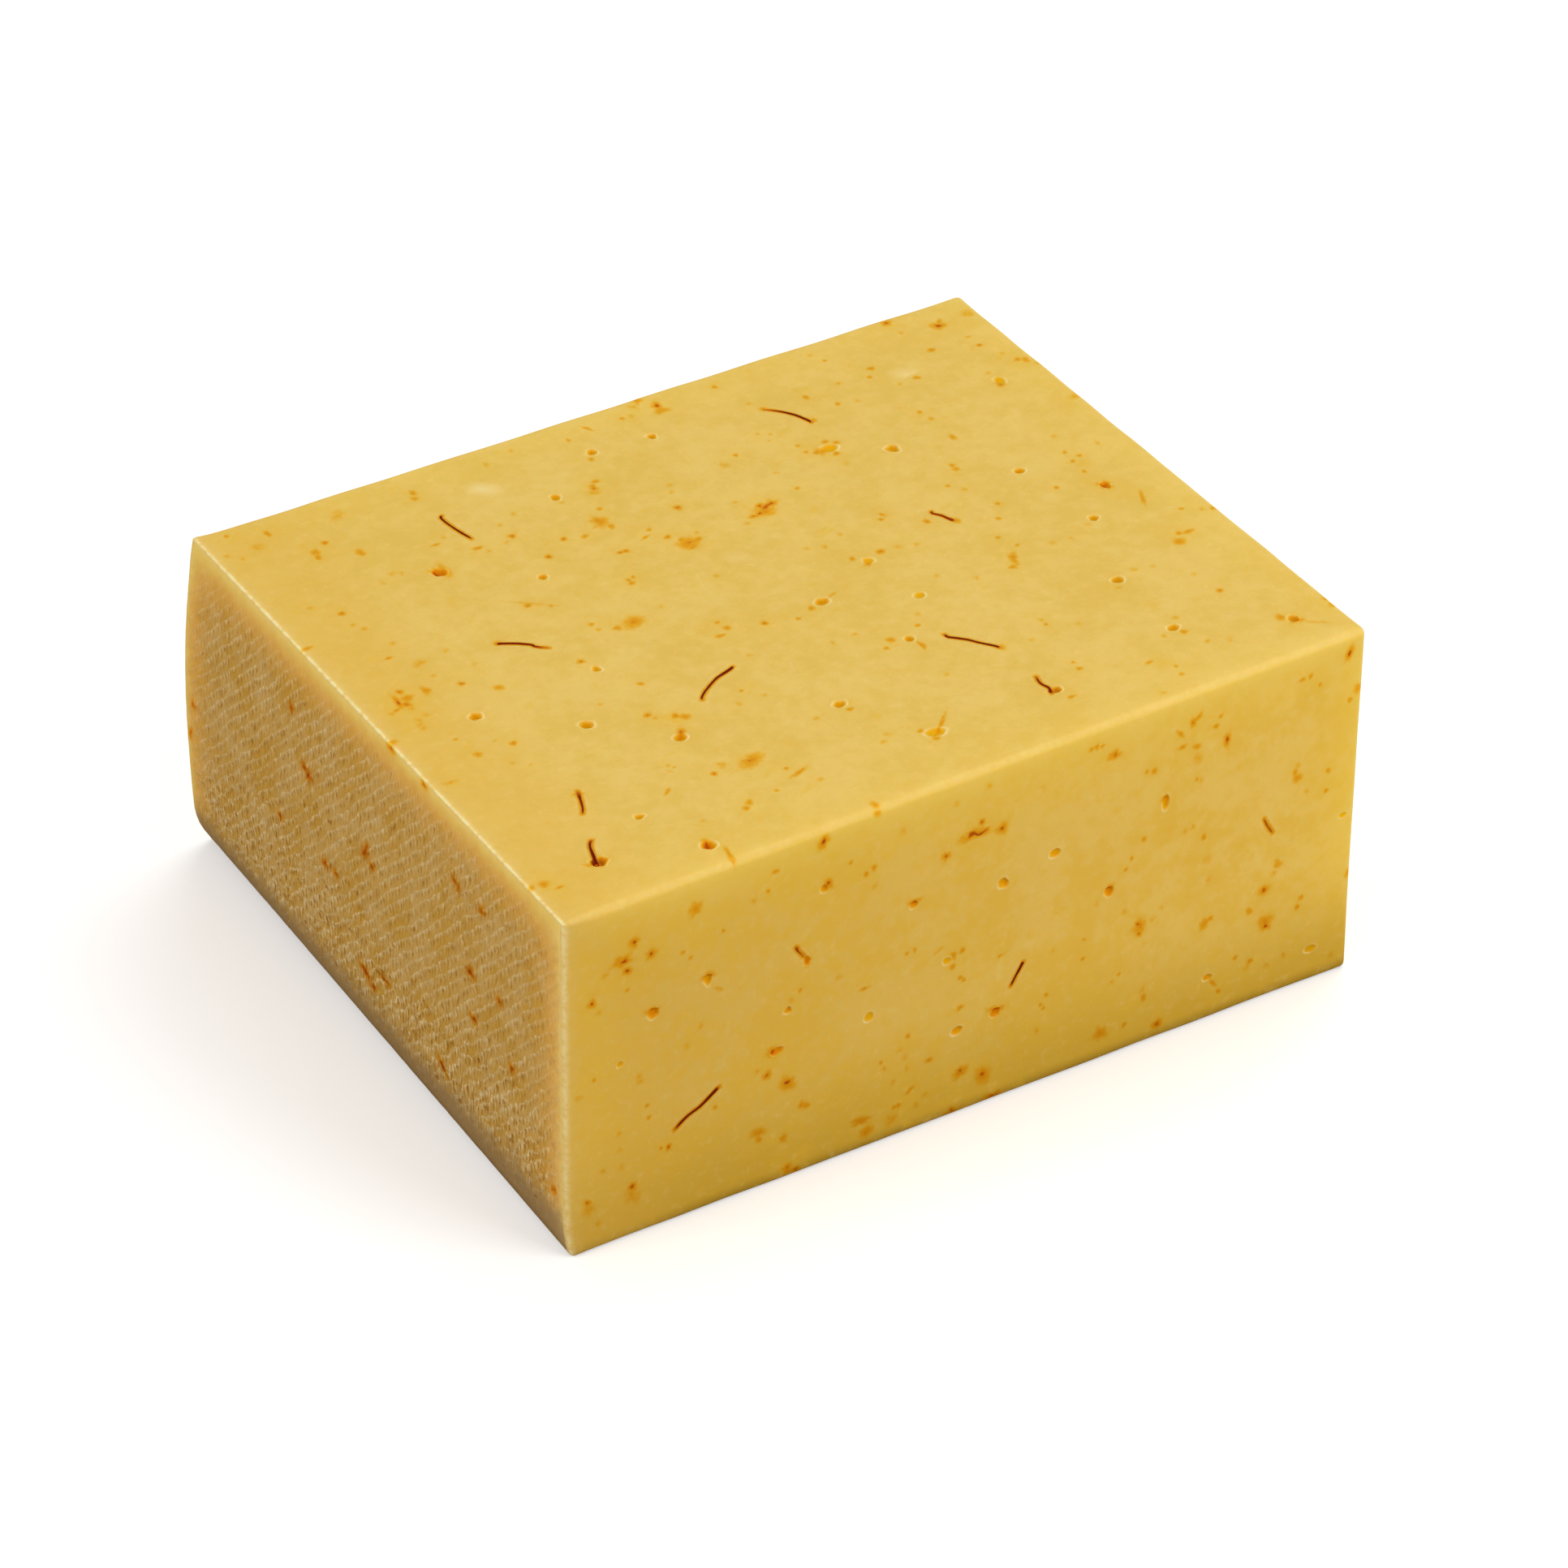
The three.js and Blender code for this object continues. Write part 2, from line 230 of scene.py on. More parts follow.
class Tint(Enum):
    """How saffron stains: (orange strength, dark strength, how far the orange spreads in mm)."""

    FAINT = (0.46, 0.0, 0.12)
    ORANGE = (0.85, 0.0, 0.12)
    RED = (1.0, 0.62, 0.26)
    BROWN = (1.0, 0.95, 0.45)


@dataclass(frozen=True)
class Mark:
    """One coloured spot: an ellipse on a face, mm and degrees."""

    side: Side
    tint: Tint
    along: float
    up: float
    length: float = 1.0
    breadth: float = 0.0
    heading: float = 0.0


@dataclass(frozen=True)
class Eye:
    """One small hole in the paste, mm and degrees."""

    side: Side
    along: float
    up: float
    length: float
    breadth: float
    heading: float = 0.0
    tint: float = 0.34


@dataclass(frozen=True)
class Thread:
    """One saffron thread: the points it runs through on a face, from its broad head to its tail, mm.

    Neck is the share of its length that the broad head takes, and pale the shares at its two ends
    that fade to orange.
    """

    side: Side
    route: tuple
    head: float = 0.7
    body: float = 0.42
    neck: float = 0.16
    dark: float = 1.0
    pale: tuple = (0.08, 0.16)


FAINT, ORANGE, RED, BROWN = Tint.FAINT, Tint.ORANGE, Tint.RED, Tint.BROWN

TOP_MARKS = {
    FAINT: (
        (42.6, 24.0, 1.7), (40.1, 41.3), (35.3, 28.5, 0.7), (35.9, 27.6, 0.7), (34.8, 26.8, 0.7),
        (32.3, 12.3, 0.7), (14.2, 42.5, 0.5), (16.5, 40.5, 0.5), (15.0, 76.0, 2.0), (20.3, 77.0),
        (13.9, 83.5), (22.6, 70.8), (15.1, 71.5, 0.8), (7.1, 61.5), (6.7, 60.0), (6.7, 59.0),
        (8.8, 62.0), (34.5, 49.4, 0.8), (14.9, 49.8, 0.7), (44.9, 69.0), (8.0, 122.2, 2.0),
        (2.3, 122.3), (4.2, 120.1), (24.3, 124.0, 2.5), (36.2, 108.0), (40.9, 100.1), (44.8, 100.8),
        (10.9, 92.0), (11.9, 90.0), (46.4, 106.2), (50.0, 108.1), (23.6, 102.6), (25.0, 101.8),
        (20.9, 100.6), (7.1, 100.5), (58.7, 37.3), (53.9, 37.5), (62.5, 27.0), (69.9, 17.0),
        (68.3, 15.5), (54.2, 12.0), (87.4, 26.4), (73.8, 86.1, 0.8), (57.3, 69.4), (70.0, 72.4),
        (90.3, 70.5), (87.2, 71.6), (94.4, 72.4), (104.2, 73.4), (101.0, 63.8), (104.0, 62.7),
        (62.6, 48.9), (80.6, 44.7), (76.3, 44.5), (92.8, 44.3), (101.8, 52.4), (82.9, 125.5),
        (59.3, 126.6), (53.5, 124.7), (88.8, 102.4, 1.5), (77.5, 101.9), (76.5, 99.7), (75.0, 94.8),
        (98.9, 108.2, 0.7), (100.7, 106.9, 0.7), (99.5, 105.2, 0.7), (95.2, 95.5), (84.4, 91.0),
        (102.7, 118.0, 0.8), (131.3, 36.0, 1.3), (134.7, 35.2), (109.6, 31.4), (105.0, 27.5),
        (114.2, 27.2), (115.0, 2.7), (133.1, 9.5), (129.8, 11.3), (139.3, 29.4), (120.3, 73.2),
        (132.4, 52.1), (124.0, 50.5), (127.7, 50.2), (107.1, 48.3), (151.9, 45.7), (148.2, 73.6),
        (142.9, 79.5), (120.5, 126.5), (152.5, 124.0, 2.5), (138.5, 124.5), (119.9, 115.4),
        (119.5, 108.5), (129.0, 109.3), (148.1, 116.8), (150.3, 108.7), (154.0, 102.3), (144.5, 104.1),
        (127.7, 96.3, 0.8, 1.6), (107.2, 91.6), (153.5, 89.0, 2.0), (3.0, 43.2, 3.2, 0.8),
        (58.8, 107.0), (83.5, 57.0, 2.4, 0.7, 22.0), (39.0, 82.0, 11.0, 0.5, -40.0),
        (126.0, 32.9), (124.5, 16.5), (129.2, 20.1), (60.4, 97.2, 2.2, 0.6, 30.0), (148.5, 6.2, 5.0, 0.6, -35.0),
        (84.6, 128.2, 2.4, 0.7, -50.0), (65.3, 106.8, 2.0), (4.3, 65.3), (7.6, 65.0), (82.6, 83.9),
    ),
    ORANGE: (
        (19.1, 29.5, 1.3), (13.4, 12.2, 1.2), (28.7, 74.4, 1.2), (99.5, 28.3, 1.2), (100.4, 13.0, 1.4),
        (104.0, 115.0, 1.1), (109.7, 107.0, 0.9), (113.8, 65.4, 1.3), (101.5, 9.8, 1.2, 0.6),
        (78.5, 55.3), (69.9, 116.6, 0.8), (128.0, 15.7, 0.9), (142.3, 60.5, 1.2), (105.4, 97.3, 1.3, 1.7),
        (109.2, 98.3, 1.0), (107.4, 95.3, 0.9), (107.6, 99.6, 0.9), (93.8, 62.0, 1.1), (31.5, 98.5, 1.6, 3.8),
        (22.7, 62.7, 1.3), (144.2, 10.5, 1.3, 1.6), (75.1, 14.8, 0.8), (76.2, 11.7, 0.8),
        (78.9, 14.7, 5.5, 0.6, 42.0), (31.6, 22.3, 1.5, 0.5, 35.0), (51.1, 17.6, 0.5), (41.2, 12.7),
        (40.0, 11.6, 0.8), (46.6, 13.1, 0.5), (41.7, 79.4, 0.4), (11.3, 80.0, 1.1, 0.6), (43.1, 51.2, 0.8),
        (10.6, 47.5, 1.1), (9.6, 53.4, 0.5), (47.9, 67.6, 1.1), (44.7, 70.9, 0.8), (5.0, 128.1, 0.6),
        (11.3, 125.0, 0.8, 1.6), (38.4, 123.4, 0.9, 1.4), (37.8, 121.6, 0.9), (34.1, 106.6, 1.2, 0.5),
        (39.6, 101.8, 1.5, 0.8), (56.1, 40.5, 0.5), (84.9, 40.1, 1.3), (91.0, 41.4, 0.7), (83.0, 38.3, 0.6),
        (88.5, 36.0, 0.7, 2.0), (68.6, 26.4, 0.8), (56.6, 79.3, 0.6), (57.7, 79.7, 0.6), (56.6, 78.2, 0.9),
        (102.9, 72.7, 0.7), (103.8, 74.1, 0.6), (92.2, 64.6, 0.8), (62.8, 60.1, 0.6), (63.4, 57.8),
        (61.3, 56.4, 1.5, 0.7), (75.0, 53.8, 0.6), (81.2, 125.6, 0.6), (74.3, 125.9, 1.8, 0.5, -65.0),
        (69.6, 124.3, 0.6), (92.1, 104.3, 0.7), (63.4, 101.7, 0.8), (57.0, 95.3, 0.9), (67.3, 91.2, 0.6),
        (65.7, 89.5, 1.6, 0.5, 20.0), (102.9, 101.0, 0.6), (103.1, 98.5, 0.5), (104.5, 97.4, 0.8),
        (95.7, 89.0, 0.7), (100.4, 126.2, 0.8), (109.5, 30.1, 0.5), (107.1, 16.1, 0.8), (107.2, 18.1, 0.5),
        (118.0, 11.3, 1.0, 0.6), (121.1, 8.0, 0.5), (120.6, 5.5, 0.6), (154.0, 9.0), (154.2, 11.3),
        (127.7, 88.9, 0.8, 1.8), (122.6, 81.0, 0.8), (122.5, 79.7), (118.4, 75.7, 0.6), (122.7, 66.2, 0.6),
        (134.2, 65.1, 0.7), (141.2, 66.9, 0.7), (120.3, 62.1, 0.8), (117.0, 57.0, 0.6), (118.5, 53.2, 0.5),
        (153.9, 45.0), (141.7, 74.1, 0.6), (143.3, 71.8, 0.7), (141.4, 70.9, 0.6), (148.9, 47.7, 0.6),
        (121.7, 123.5, 0.6), (112.5, 114.4, 0.8, 1.2), (125.7, 114.3, 0.7), (127.4, 116.7), (116.1, 109.4, 0.9),
        (132.8, 109.7, 0.9), (140.1, 116.5, 1.2), (151.5, 105.3, 0.9), (152.7, 104.3, 1.0, 1.4),
        (127.0, 99.2, 0.6), (8.5, 68.0, 1.6), (5.4, 65.8, 1.6, 0.5, 20.0), (12.1, 68.3, 1.2, 2.0),
        (146.5, 124.3, 1.4, 0.6, 50.0), (143.0, 39.3, 1.8), (144.2, 41.5, 0.8), (146.0, 41.0, 1.8, 0.8),
        (115.8, 50.2, 1.4, 3.0, -20.0), (114.3, 47.9), (88.5, 124.4, 2.2, 1.8), (86.4, 129.7, 1.4, 2.0),
        (65.8, 108.4, 0.9, 1.4), (67.0, 109.8, 1.2, 0.8), (15.6, 115.3, 1.3), (15.3, 113.7),
        (22.1, 111.2, 1.3, 1.6), (31.3, 2.0, 4.0, 0.7, 80.0), (57.9, 1.2, 1.1, 1.6), (44.5, 39.0, 1.4),
        (43.3, 40.0), (52.3, 15.6, 3.0, 0.8, 20.0), (145.2, 54.3, 3.6, 0.7, 66.0), (2.7, 11.0, 1.4),
        (0.5, 11.2), (4.3, 9.0, 1.0, 0.4), (0.4, 58.0, 1.5, 1.0), (1.0, 89.8, 1.5, 0.8),
        (47.4, 22.5, 3.2), (51.0, 67.7, 3.0), (71.0, 83.9, 3.4, 2.8), (70.5, 85.5), (73.0, 84.2, 1.1),
        (70.8, 82.5), (61.5, 98.0, 2.2, 3.2, 15.0), (62.3, 95.6, 0.9, 1.4), (87.3, 85.8, 2.8, 3.2, 20.0),
    ),
    RED: (
        (40.4, 22.5, 0.6), (39.5, 42.6, 0.7), (38.4, 81.6, 0.6), (18.0, 67.0, 0.5), (37.8, 62.1, 0.7),
        (17.1, 47.4, 0.6), (46.4, 102.0, 0.8), (10.8, 96.1, 0.6), (48.6, 93.0, 0.8), (53.5, 96.5, 0.5),
        (59.7, 87.7, 0.6), (60.7, 87.6, 0.6), (68.9, 87.5, 0.6), (97.6, 64.2, 0.8), (69.5, 55.6, 0.6),
        (75.0, 94.8, 0.9), (140.2, 22.9, 0.5), (109.3, 67.9, 0.7), (148.4, 113.3, 0.5), (144.4, 99.6, 0.9),
        (47.1, 22.6, 0.7), (84.8, 85.4, 1.0, 0.6), (8.3, 70.3, 0.7), (7.5, 66.4, 0.9), (18.3, 117.2, 0.6),
        (65.7, 107.9, 0.7), (41.8, 35.6, 1.1), (71.2, 84.0, 0.8), (51.1, 67.8, 0.6),
    ),
    BROWN: (
        (12.1, 11.4, 1.3, 0.9), (29.8, 6.6, 0.8, 1.4), (30.2, 99.1, 1.0, 1.3), (141.8, 61.5, 1.2),
        (146.2, 8.5, 1.0), (88.2, 87.0, 2.2, 1.0), (87.4, 87.7, 0.7), (89.5, 87.4, 0.8), (6.6, 67.7, 0.6, 1.6),
        (145.5, 123.0, 1.4), (88.5, 126.2, 0.9, 1.3), (138.0, 129.0, 0.9), (86.2, 85.6, 1.0, 0.6),
    ),
}

FRONT_MARKS = {
    FAINT: (
        (7.5, 53.5), (6.5, 46.8), (42.0, 35.4), (51.0, 36.4), (2.6, 31.7, 1.4, 0.9), (22.5, 34.0), (13.7, 31.5),
        (13.9, 30.5), (25.0, 37.0), (35.6, 23.8), (10.0, 21.7), (10.0, 18.3), (10.3, 15.0), (7.0, 15.4),
        (5.9, 5.2), (62.6, 60.0), (79.2, 62.5), (73.0, 61.4), (89.9, 58.3), (57.5, 51.5), (60.2, 14.7),
        (63.2, 17.3), (64.2, 15.5), (64.7, 13.1), (62.0, 11.3), (68.4, 6.3), (66.7, 4.9), (93.0, 25.8),
        (90.5, 10.7), (101.6, 31.7), (121.0, 53.0, 2.0), (121.9, 48.4), (142.0, 44.3), (144.1, 38.5),
        (119.1, 39.6), (120.7, 39.8), (124.0, 32.4, 1.5), (124.5, 28.2), (138.2, 24.6), (113.2, 24.6),
        (114.9, 26.1), (107.3, 28.1), (105.3, 15.0), (111.8, 11.1, 1.2), (137.8, 6.3), (141.3, 7.2),
        (133.5, 7.5), (151.5, 3.5), (4.2, 8.8, 2.0, 3.0), (12.5, 8.3, 3.0, 3.5), (43.8, 43.4, 2.6, 0.7, -55.0),
        (70.3, 34.3, 2.0, 0.7, 30.0), (28.2, 42.9, 2.4, 0.7, -40.0), (61.8, 4.0, 2.4), (34.7, 57.2),
    ),
    ORANGE: (
        (47.6, 63.3, 1.8), (38.6, 61.3, 1.0, 0.6), (37.3, 58.1, 0.5), (23.8, 59.8, 1.8, 2.0), (12.6, 57.8, 1.6),
        (10.6, 55.0, 3.0, 2.0), (11.6, 49.1, 0.5), (15.8, 54.4, 1.6), (21.6, 52.4, 0.5), (23.0, 50.9, 0.6),
        (29.1, 53.7, 0.4), (44.9, 41.7, 1.2, 1.6), (43.6, 36.7, 0.5), (5.4, 34.1, 0.5), (37.5, 22.3, 1.4),
        (41.4, 19.0, 2.5), (27.8, 19.8, 0.5), (17.7, 15.7, 0.4), (15.1, 25.2, 0.5), (15.4, 22.7, 0.6),
        (36.0, 11.5, 2.5, 1.5), (36.1, 10.0), (40.9, 8.4, 1.2), (44.3, 13.8), (45.2, 13.2), (41.6, 1.9, 1.6),
        (57.7, 65.2), (99.2, 62.2, 0.6), (100.2, 62.3, 0.7), (101.3, 62.1, 0.6), (103.8, 59.5, 2.2, 1.2),
        (52.9, 57.7, 0.5), (55.8, 54.4, 0.7), (57.3, 55.1, 0.8), (82.0, 53.4, 1.8), (64.0, 36.0, 0.5),
        (65.6, 36.1, 0.6), (56.0, 32.2, 1.5, 0.5), (73.3, 32.2, 1.0), (73.1, 30.0, 0.8), (75.0, 32.5, 0.8),
        (82.4, 28.6, 0.5), (74.7, 27.3, 0.6), (75.4, 26.6, 0.6), (74.8, 21.3, 0.8), (64.7, 19.5, 0.7),
        (59.5, 16.3, 0.5), (69.0, 13.0, 1.2, 0.7), (75.2, 8.3, 2.0), (79.8, 6.0, 3.4, 2.2, -30.0),
        (55.8, 6.0, 3.0, 1.4), (57.0, 3.4, 2.0), (65.4, 8.4, 1.6, 0.6, 30.0), (62.4, 6.2, 0.6), (63.2, 6.2, 0.6),
        (73.8, 0.9, 2.0, 1.2), (82.0, 1.0, 3.0, 1.2), (91.0, 15.7, 0.5), (91.6, 14.8, 0.5), (92.1, 17.3, 0.5),
        (99.3, 25.6, 0.4), (99.2, 21.8, 0.5), (103.4, 5.5, 1.8, 2.5), (120.6, 60.8, 1.8, 0.6, 30.0),
        (117.1, 58.9, 1.7, 0.6, -45.0), (117.7, 56.2, 1.4, 0.7), (120.6, 55.3, 1.2, 0.8), (124.4, 57.8, 0.8),
        (125.2, 59.4, 0.5), (112.1, 53.6, 0.8), (110.6, 54.0, 0.5), (141.9, 60.6, 1.0, 0.6), (143.5, 60.7, 0.6),
        (145.6, 58.4, 0.5), (153.7, 55.0, 1.4), (152.1, 53.3, 0.8), (120.9, 49.0, 0.5), (141.5, 43.1, 0.9),
        (142.0, 41.8, 1.4), (148.5, 41.0, 0.6), (148.3, 37.2, 0.6), (110.7, 41.1, 0.8), (108.3, 38.2, 0.5),
        (107.2, 36.4, 0.5), (123.0, 37.1, 0.8), (138.9, 26.2, 1.3), (110.6, 24.0, 2.2, 2.6), (136.2, 21.9, 2.2, 1.3),
        (125.4, 20.3, 0.8), (124.0, 19.6, 1.6), (133.4, 18.8), (136.8, 15.5, 2.5), (106.8, 16.0, 0.5),
        (112.1, 9.3), (126.5, 7.0, 1.4, 0.6, -50.0), (134.1, 8.6, 1.1, 0.7), (131.0, 10.5, 0.7), (108.4, 5.3, 0.7),
        (127.7, 5.0, 0.7), (154.0, 19.0), (144.3, 17.6, 0.8), (143.6, 16.0, 0.8), (76.6, 54.3, 4.4, 2.0),
        (48.7, 55.0, 1.5),
    ),
    RED: (
        (78.0, 56.1, 0.7), (19.1, 15.4, 0.6), (4.0, 10.3, 0.6), (41.6, 2.3, 0.8), (43.3, 1.2, 0.7), (73.8, 1.1),
        (82.0, 1.0, 2.2, 0.7), (79.7, 6.2, 1.9, 0.7, -30.0), (42.9, 45.0, 0.6, 0.8), (114.5, 47.5, 0.8),
        (115.2, 2.9, 1.4, 1.2), (110.2, 24.6, 0.8), (110.5, 22.7, 0.6), (119.6, 60.1, 0.8), (37.5, 22.3, 0.8),
        (136.3, 22.0, 1.0), (12.3, 10.2), (104.0, 59.6, 0.9),
    ),
    BROWN: (
        (47.6, 63.6, 0.8, 1.2), (12.8, 57.8, 0.7), (10.9, 54.8, 1.2, 0.6), (11.5, 52.8, 0.7), (5.1, 49.0, 0.6),
        (48.7, 55.3, 0.6), (41.4, 19.3, 1.4, 0.8), (76.1, 54.4, 1.6, 0.8, 15.0), (71.2, 52.1, 0.6), (82.0, 53.5, 0.8),
        (75.2, 8.6, 0.6), (104.1, 33.8, 0.8), (126.8, 54.4, 0.7, 1.3), (151.4, 62.4, 0.6, 1.6, -30.0),
        (16.1, 43.4, 1.2, 0.6), (26.4, 46.2, 1.0, 0.6), (65.2, 45.5, 1.0, 0.6), (38.6, 26.5, 0.9, 1.2),
        (82.0, 18.3, 1.5, 0.7), (137.0, 14.6, 0.8), (15.8, 54.5, 0.6),
    ),
}

RIND_MARKS = {
    RED: (
        (1.8, 26.1, 1.2), (3.4, 33.2, 1.0), (85.0, 65.0, 1.2, 0.8), (73.5, 65.3, 2.0, 0.8),
        (110.5, 38.5, 1.2), (127.0, 11.8, 1.1), (64.3, 14.4, 3.4, 1.2, -14.0), (67.0, 12.8, 1.2),
        (39.3, 53.7, 1.3), (46.3, 43.8, 1.1), (51.5, 29.0, 1.1), (55.1, 29.2, 1.2), (97.0, 52.3, 1.0),
        (104.8, 52.5, 1.2), (114.2, 27.5, 1.2), (66.0, 40.8, 2.6, 1.0, 60.0), (68.0, 38.6, 1.2), (35.3, 28.9, 1.2),
    ),
    BROWN: (
        (90.6, 12.4, 4.0, 0.7, -38.0), (44.5, 44.6, 1.5, 0.7), (45.9, 43.9, 1.0), (96.0, 53.0, 1.2, 0.8),
        (65.6, 39.9, 1.4, 0.8, 50.0), (101.2, 38.2, 1.8, 1.0), (101.8, 29.2, 1.7, 1.0),
        (51.4, 28.8, 0.7), (71.5, 17.3, 2.2, 0.5, -5.0), (64.8, 14.4, 1.2, 0.8, -14.0),
    ),
}

TOP_EYES = (
    (30.6, 98.6, 2.6, 2.6), (44.8, 88.0, 1.8, 1.8), (15.5, 57.4, 2.3, 2.2), (29.7, 45.6, 2.4, 2.4),
    (40.9, 34.3, 2.4, 2.2), (81.1, 56.2, 2.8, 2.2), (116.6, 91.4, 2.4, 2.7), (107.2, 97.4, 3.2, 2.6, 0.0, 0.06),
    (87.8, 38.8, 1.9, 1.9), (67.9, 28.6, 2.4, 2.0), (96.1, 49.0, 2.1, 2.0, 0.0, 0.16), (131.7, 73.2, 2.1, 2.0),
    (134.4, 53.4, 1.9, 1.9), (127.3, 35.0, 2.2, 2.2), (127.2, 17.8, 2.3, 2.0), (142.0, 61.3, 1.9, 2.2, 0.0, 0.9),
    (71.2, 118.6, 2.0, 2.0), (82.7, 117.6, 1.8, 1.9), (39.0, 58.9, 1.6, 1.8), (58.7, 109.0, 1.9, 2.1),
    (94.3, 62.8, 2.0, 2.0, 0.0, 0.16), (29.8, 6.1, 2.7, 2.4), (24.3, 18.7, 1.8, 1.5), (12.9, 11.6, 2.9, 2.6, 0.0, 0.9),
    (100.3, 13.0, 2.4, 2.0, 0.0, 0.3), (145.9, 9.2, 2.0, 2.2),
)

FRONT_EYES = (
    (16.3, 42.8, 2.2, 2.1, 0.0, 0.6), (39.4, 26.4, 2.3, 1.5, 0.0, 0.7), (26.3, 45.4, 1.8, 2.0), (82.7, 42.7, 2.4, 1.9, -35.0),
    (92.8, 44.8, 2.4, 1.7), (65.2, 45.0, 1.7, 1.4), (74.4, 16.9, 2.3, 1.7), (81.9, 17.7, 2.2, 1.6, 20.0, 0.9),
    (114.8, 46.7, 1.6, 2.9), (104.0, 33.3, 2.0, 2.0, 0.0, 0.6), (41.4, 33.6, 1.5, 1.4), (47.9, 54.5, 1.5, 1.5),
    (44.8, 42.0, 1.3, 2.1, 10.0, 0.8), (125.3, 8.6, 2.0, 1.3),
)

RIND_PITS = (
    (46.7, 17.5, 1.4, 1.0), (48.4, 15.7, 1.7, 0.9, -30.0), (38.7, 18.6, 1.1, 0.7), (61.8, 16.0, 1.2, 0.8),
    (58.4, 8.6, 1.0, 0.7, 60.0), (53.6, 8.6, 1.5, 0.7, -50.0), (35.0, 11.2, 1.2, 0.9), (42.7, 10.5, 1.1, 0.9),
    (96.4, 8.7, 1.2, 0.9), (105.4, 17.4, 1.0, 0.8), (103.3, 21.6, 1.6, 0.7, -20.0), (111.2, 18.7, 1.3, 0.9),
    (113.3, 12.2, 1.2, 1.0), (94.3, 11.1, 1.3, 0.6, -45.0), (120.9, 6.1, 1.0, 0.7), (88.5, 8.2, 1.2, 0.9),
    (118.4, 15.4, 1.9, 0.7, -25.0), (120.6, 12.8, 2.4, 0.55, -52.0), (122.4, 10.7, 1.2, 0.5, -50.0),
    (30.4, 17.6, 1.1, 0.7), (26.3, 15.7, 1.0, 0.7), (77.3, 17.5, 1.1, 0.7), (70.6, 17.0, 1.4, 0.7, -20.0),
    (9.0, 17.0, 1.1, 0.8), (17.6, 10.5, 1.3, 0.8), (53.2, 38.6, 1.2, 1.0), (44.2, 36.6, 1.2, 0.9),
    (59.4, 19.9, 1.0, 1.0), (51.6, 23.8, 1.3, 1.3), (86.4, 21.3, 1.1, 0.9), (74.8, 26.8, 1.3, 1.0),
)

PALE_EYES = (
    (Side.TOP, 145.0, 101.0, 2.0, 2.4), (Side.TOP, 77.0, 13.3, 3.4, 2.6), (Side.FRONT, 10.2, 35.3, 1.3, 1.2),
    (Side.FRONT, 57.0, 26.3, 2.0, 1.8), (Side.FRONT, 72.0, 31.6, 1.8, 1.4), (Side.FRONT, 152.2, 31.1, 1.8, 1.1),
    (Side.FRONT, 147.0, 6.5, 2.6, 1.4),
)

THREADS = (
    Thread(Side.TOP, ((12.1, 11.0), (12.5, 12.1), (13.1, 14.0), (13.6, 15.7), (14.2, 16.8), (14.8, 17.3)),
           1.1, 0.38, 0.3, pale=(0.02, 0.3)),
    Thread(Side.TOP, ((19.4, 30.1), (18.8, 28.4), (18.4, 27.2), (17.8, 25.6), (17.0, 24.2)),
           0.75, 0.34, 0.35, 0.85, (0.3, 0.12)),
    Thread(Side.TOP, ((28.5, 74.3), (29.6, 73.7), (31.5, 72.5), (33.3, 70.9), (33.5, 70.2), (34.3, 69.4), (35.3, 68.6)),
           1.0, 0.46, 0.12, pale=(0.06, 0.36)),
    Thread(Side.TOP, ((39.2, 114.2), (38.8, 113.6), (38.9, 111.5), (39.5, 108.0), (40.2, 105.0)),
           0.5, 0.38, pale=(0.12, 0.06)),
    Thread(Side.TOP, ((58.5, 47.4), (57.8, 47.0), (56.0, 46.4), (54.3, 45.8), (51.0, 43.6), (49.6, 42.3), (49.3, 41.6)),
           0.66, 0.36, 0.5, pale=(0.08, 0.14)),
    Thread(Side.TOP, ((93.4, 36.7), (93.5, 35.7), (94.3, 34.9), (95.8, 33.3), (97.0, 31.5), (98.9, 29.0), (99.1, 28.3)),
           0.52, 0.48, 0.5, pale=(0.12, 0.12)),
    Thread(Side.TOP, ((99.2, 12.4), (99.7, 14.0), (99.3, 15.4), (99.3, 16.5), (99.7, 18.0)),
           0.6, 0.36, 0.4, 0.9, (0.05, 0.25)),
    Thread(Side.TOP, ((109.0, 106.6), (108.8, 107.6), (107.8, 110.2), (106.5, 112.2), (105.2, 113.7), (104.0, 114.8)),
           0.62, 0.46, 0.6, pale=(0.08, 0.4)),
    Thread(Side.TOP, ((113.4, 65.6), (112.9, 66.9), (112.4, 68.3), (111.5, 69.6), (111.7, 70.3)),
           1.3, 0.46, 0.25, 0.75, (0.06, 0.2)),
    Thread(Side.FRONT, ((28.5, 23.6), (27.0, 22.5), (25.0, 21.1), (22.8, 20.2), (21.4, 19.3), (20.2, 18.3)),
           0.8, 0.48, 0.25),
    Thread(Side.FRONT, ((87.2, 25.8), (86.5, 24.6), (85.6, 23.2), (84.8, 21.8)), 0.85, 0.36, 0.45),
    Thread(Side.FRONT, ((75.8, 54.7), (76.7, 54.4), (77.5, 53.9), (79.1, 54.3)), 0.5, 0.24, 0.3, 0.5, (0.1, 0.5)),
    Thread(Side.FRONT, ((42.7, 45.3), (43.0, 44.6), (43.5, 43.9), (44.2, 43.0)), 0.42, 0.2, 0.3, 0.6, (0.1, 0.8)),
    Thread(Side.FRONT, ((135.5, 36.1), (136.1, 34.9), (136.7, 33.9), (137.4, 32.9)), 0.34, 0.3, 0.3, 0.36, (0.3, 0.5)),
)

